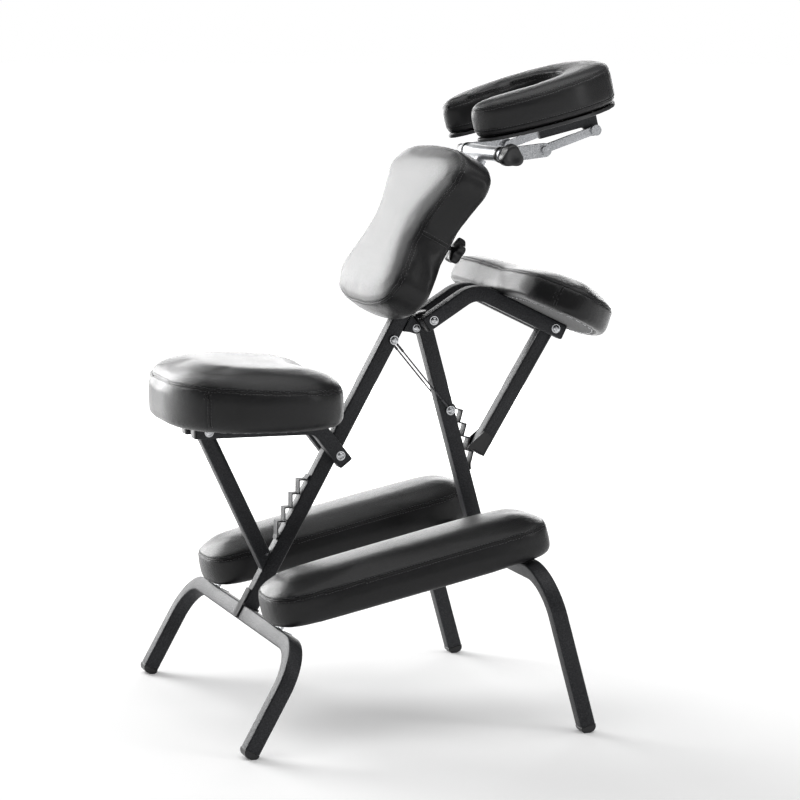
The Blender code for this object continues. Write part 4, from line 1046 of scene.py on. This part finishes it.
def stem_collar():
    profile = [(0.0098, 0.0), (0.0118, 0.0), (0.0122, 0.0010), (0.0118, 0.0052), (0.0104, 0.0060),
               (0.0098, 0.0060)]
    add_piece("stem_collar", turned(profile, 40), BLACK, "rear_frame",
              REAR @ Matrix.Translation((0, 0, POST_TOP + 0.003)))


# ---- studio ----
def floor():
    """A pale floor with a painted glow of its own, weak by the chair and strong away from it, so that it
    fades to white away from the chair.
    """
    bm = bmesh.new()
    bmesh.ops.create_grid(bm, x_segments=2, y_segments=2, size=40)
    ground = link("floor", mesh_from(bm))
    finish = new_finish("floor_paper", (0.90, 0.90, 0.90), Roughness=0.9, Specular_IOR_Level=0.1)
    place = add_node(finish, "ShaderNodeTexCoord").outputs["Object"]
    far = add_node(finish, "ShaderNodeVectorMath", {0: place}, operation="LENGTH").outputs["Value"]
    # painted glow: the floor gives off light itself, 0.10 by the chair rising to 1.0 at 4.5 m, which also
    # lightens the shadows under the chair
    painted_glow = between(finish, far, 0.9, 4.5, 0.10, 1.0)
    shader = finish.node_tree.nodes["Principled BSDF"]
    shader.inputs["Emission Color"].default_value = (1, 1, 1, 1)
    finish.node_tree.links.new(painted_glow, shader.inputs["Emission Strength"])
    ground.data.materials.append(finish)


def world():
    made = bpy.data.worlds.new("studio")
    bpy.context.scene.world = made
    made.use_nodes = True
    nodes, links = made.node_tree.nodes, made.node_tree.links
    nodes.clear()
    path = nodes.new("ShaderNodeLightPath")
    seen, lit = nodes.new("ShaderNodeBackground"), nodes.new("ShaderNodeBackground")
    seen.inputs["Color"].default_value = (1, 1, 1, 1)
    lit.inputs["Color"].default_value = (1, 1, 1, 1)
    lit.inputs["Strength"].default_value = 0.10
    mix = nodes.new("ShaderNodeMixShader")
    links.new(path.outputs["Is Camera Ray"], mix.inputs[0])
    links.new(lit.outputs[0], mix.inputs[1])
    links.new(seen.outputs[0], mix.inputs[2])
    links.new(mix.outputs[0], nodes.new("ShaderNodeOutputWorld").inputs[0])


def softbox(name, place, aim, size, watts):
    light = bpy.data.lights.new(name, "AREA")
    light.shape = "RECTANGLE"
    light.size, light.size_y = size
    light.energy = watts
    lamp = link(name, light)
    lamp.location = place
    lamp.rotation_mode = "QUATERNION"
    lamp.rotation_quaternion = (Vector(aim) - Vector(place)).to_track_quat("-Z", "Y")
    lamp.visible_camera = False


def camera():
    """A long lens from the chair's right and a little behind the user."""
    data = bpy.data.cameras.new("camera")
    data.lens = 132.5
    data.clip_end = 200
    eye = link("camera", data)
    azimuth, elevation, roll = radians(70.23), radians(7.9), radians(0.63)
    back = Vector((sin(azimuth) * cos(elevation), -cos(azimuth) * cos(elevation), sin(elevation)))
    level = Vector((cos(azimuth), sin(azimuth), 0))
    upright = back.cross(level)
    right = level * cos(roll) + upright * sin(roll)
    up = upright * cos(roll) - level * sin(roll)
    turn = Matrix((right, up, back)).transposed().to_4x4()
    eye.matrix_world = Matrix.Translation((4.4795, -1.5822, 1.1585)) @ turn
    bpy.context.scene.camera = eye


def studio():
    floor()
    world()
    softbox("overhead", (0.2, 0.3, 3.0), (0, 0, 0.3), (3.4, 3.4), 62)
    softbox("far_left", (-3.0, -1.5, 1.6), (0, -0.1, 0.7), (2.4, 2.6), 165)
    softbox("far_right", (-3.6, 1.5, 1.03), (0, -0.1, 0.6), (3.0, 1.85), 78)
    softbox("near_edge", (2.2, 2.4, 1.6), (0, 0, 0.5), (0.7, 1.6), 14)
    camera()
    bpy.context.scene.view_settings.view_transform = "Standard"


studio()
frames()
seat_bars()
armrest_bars()
bolts()
knobs()
cables()
small_metal()
cross_tube_bands()
stem_collar()
seat_pad()
knee_pads()
armrest_pad()
chest_pad()
cradle_pad()
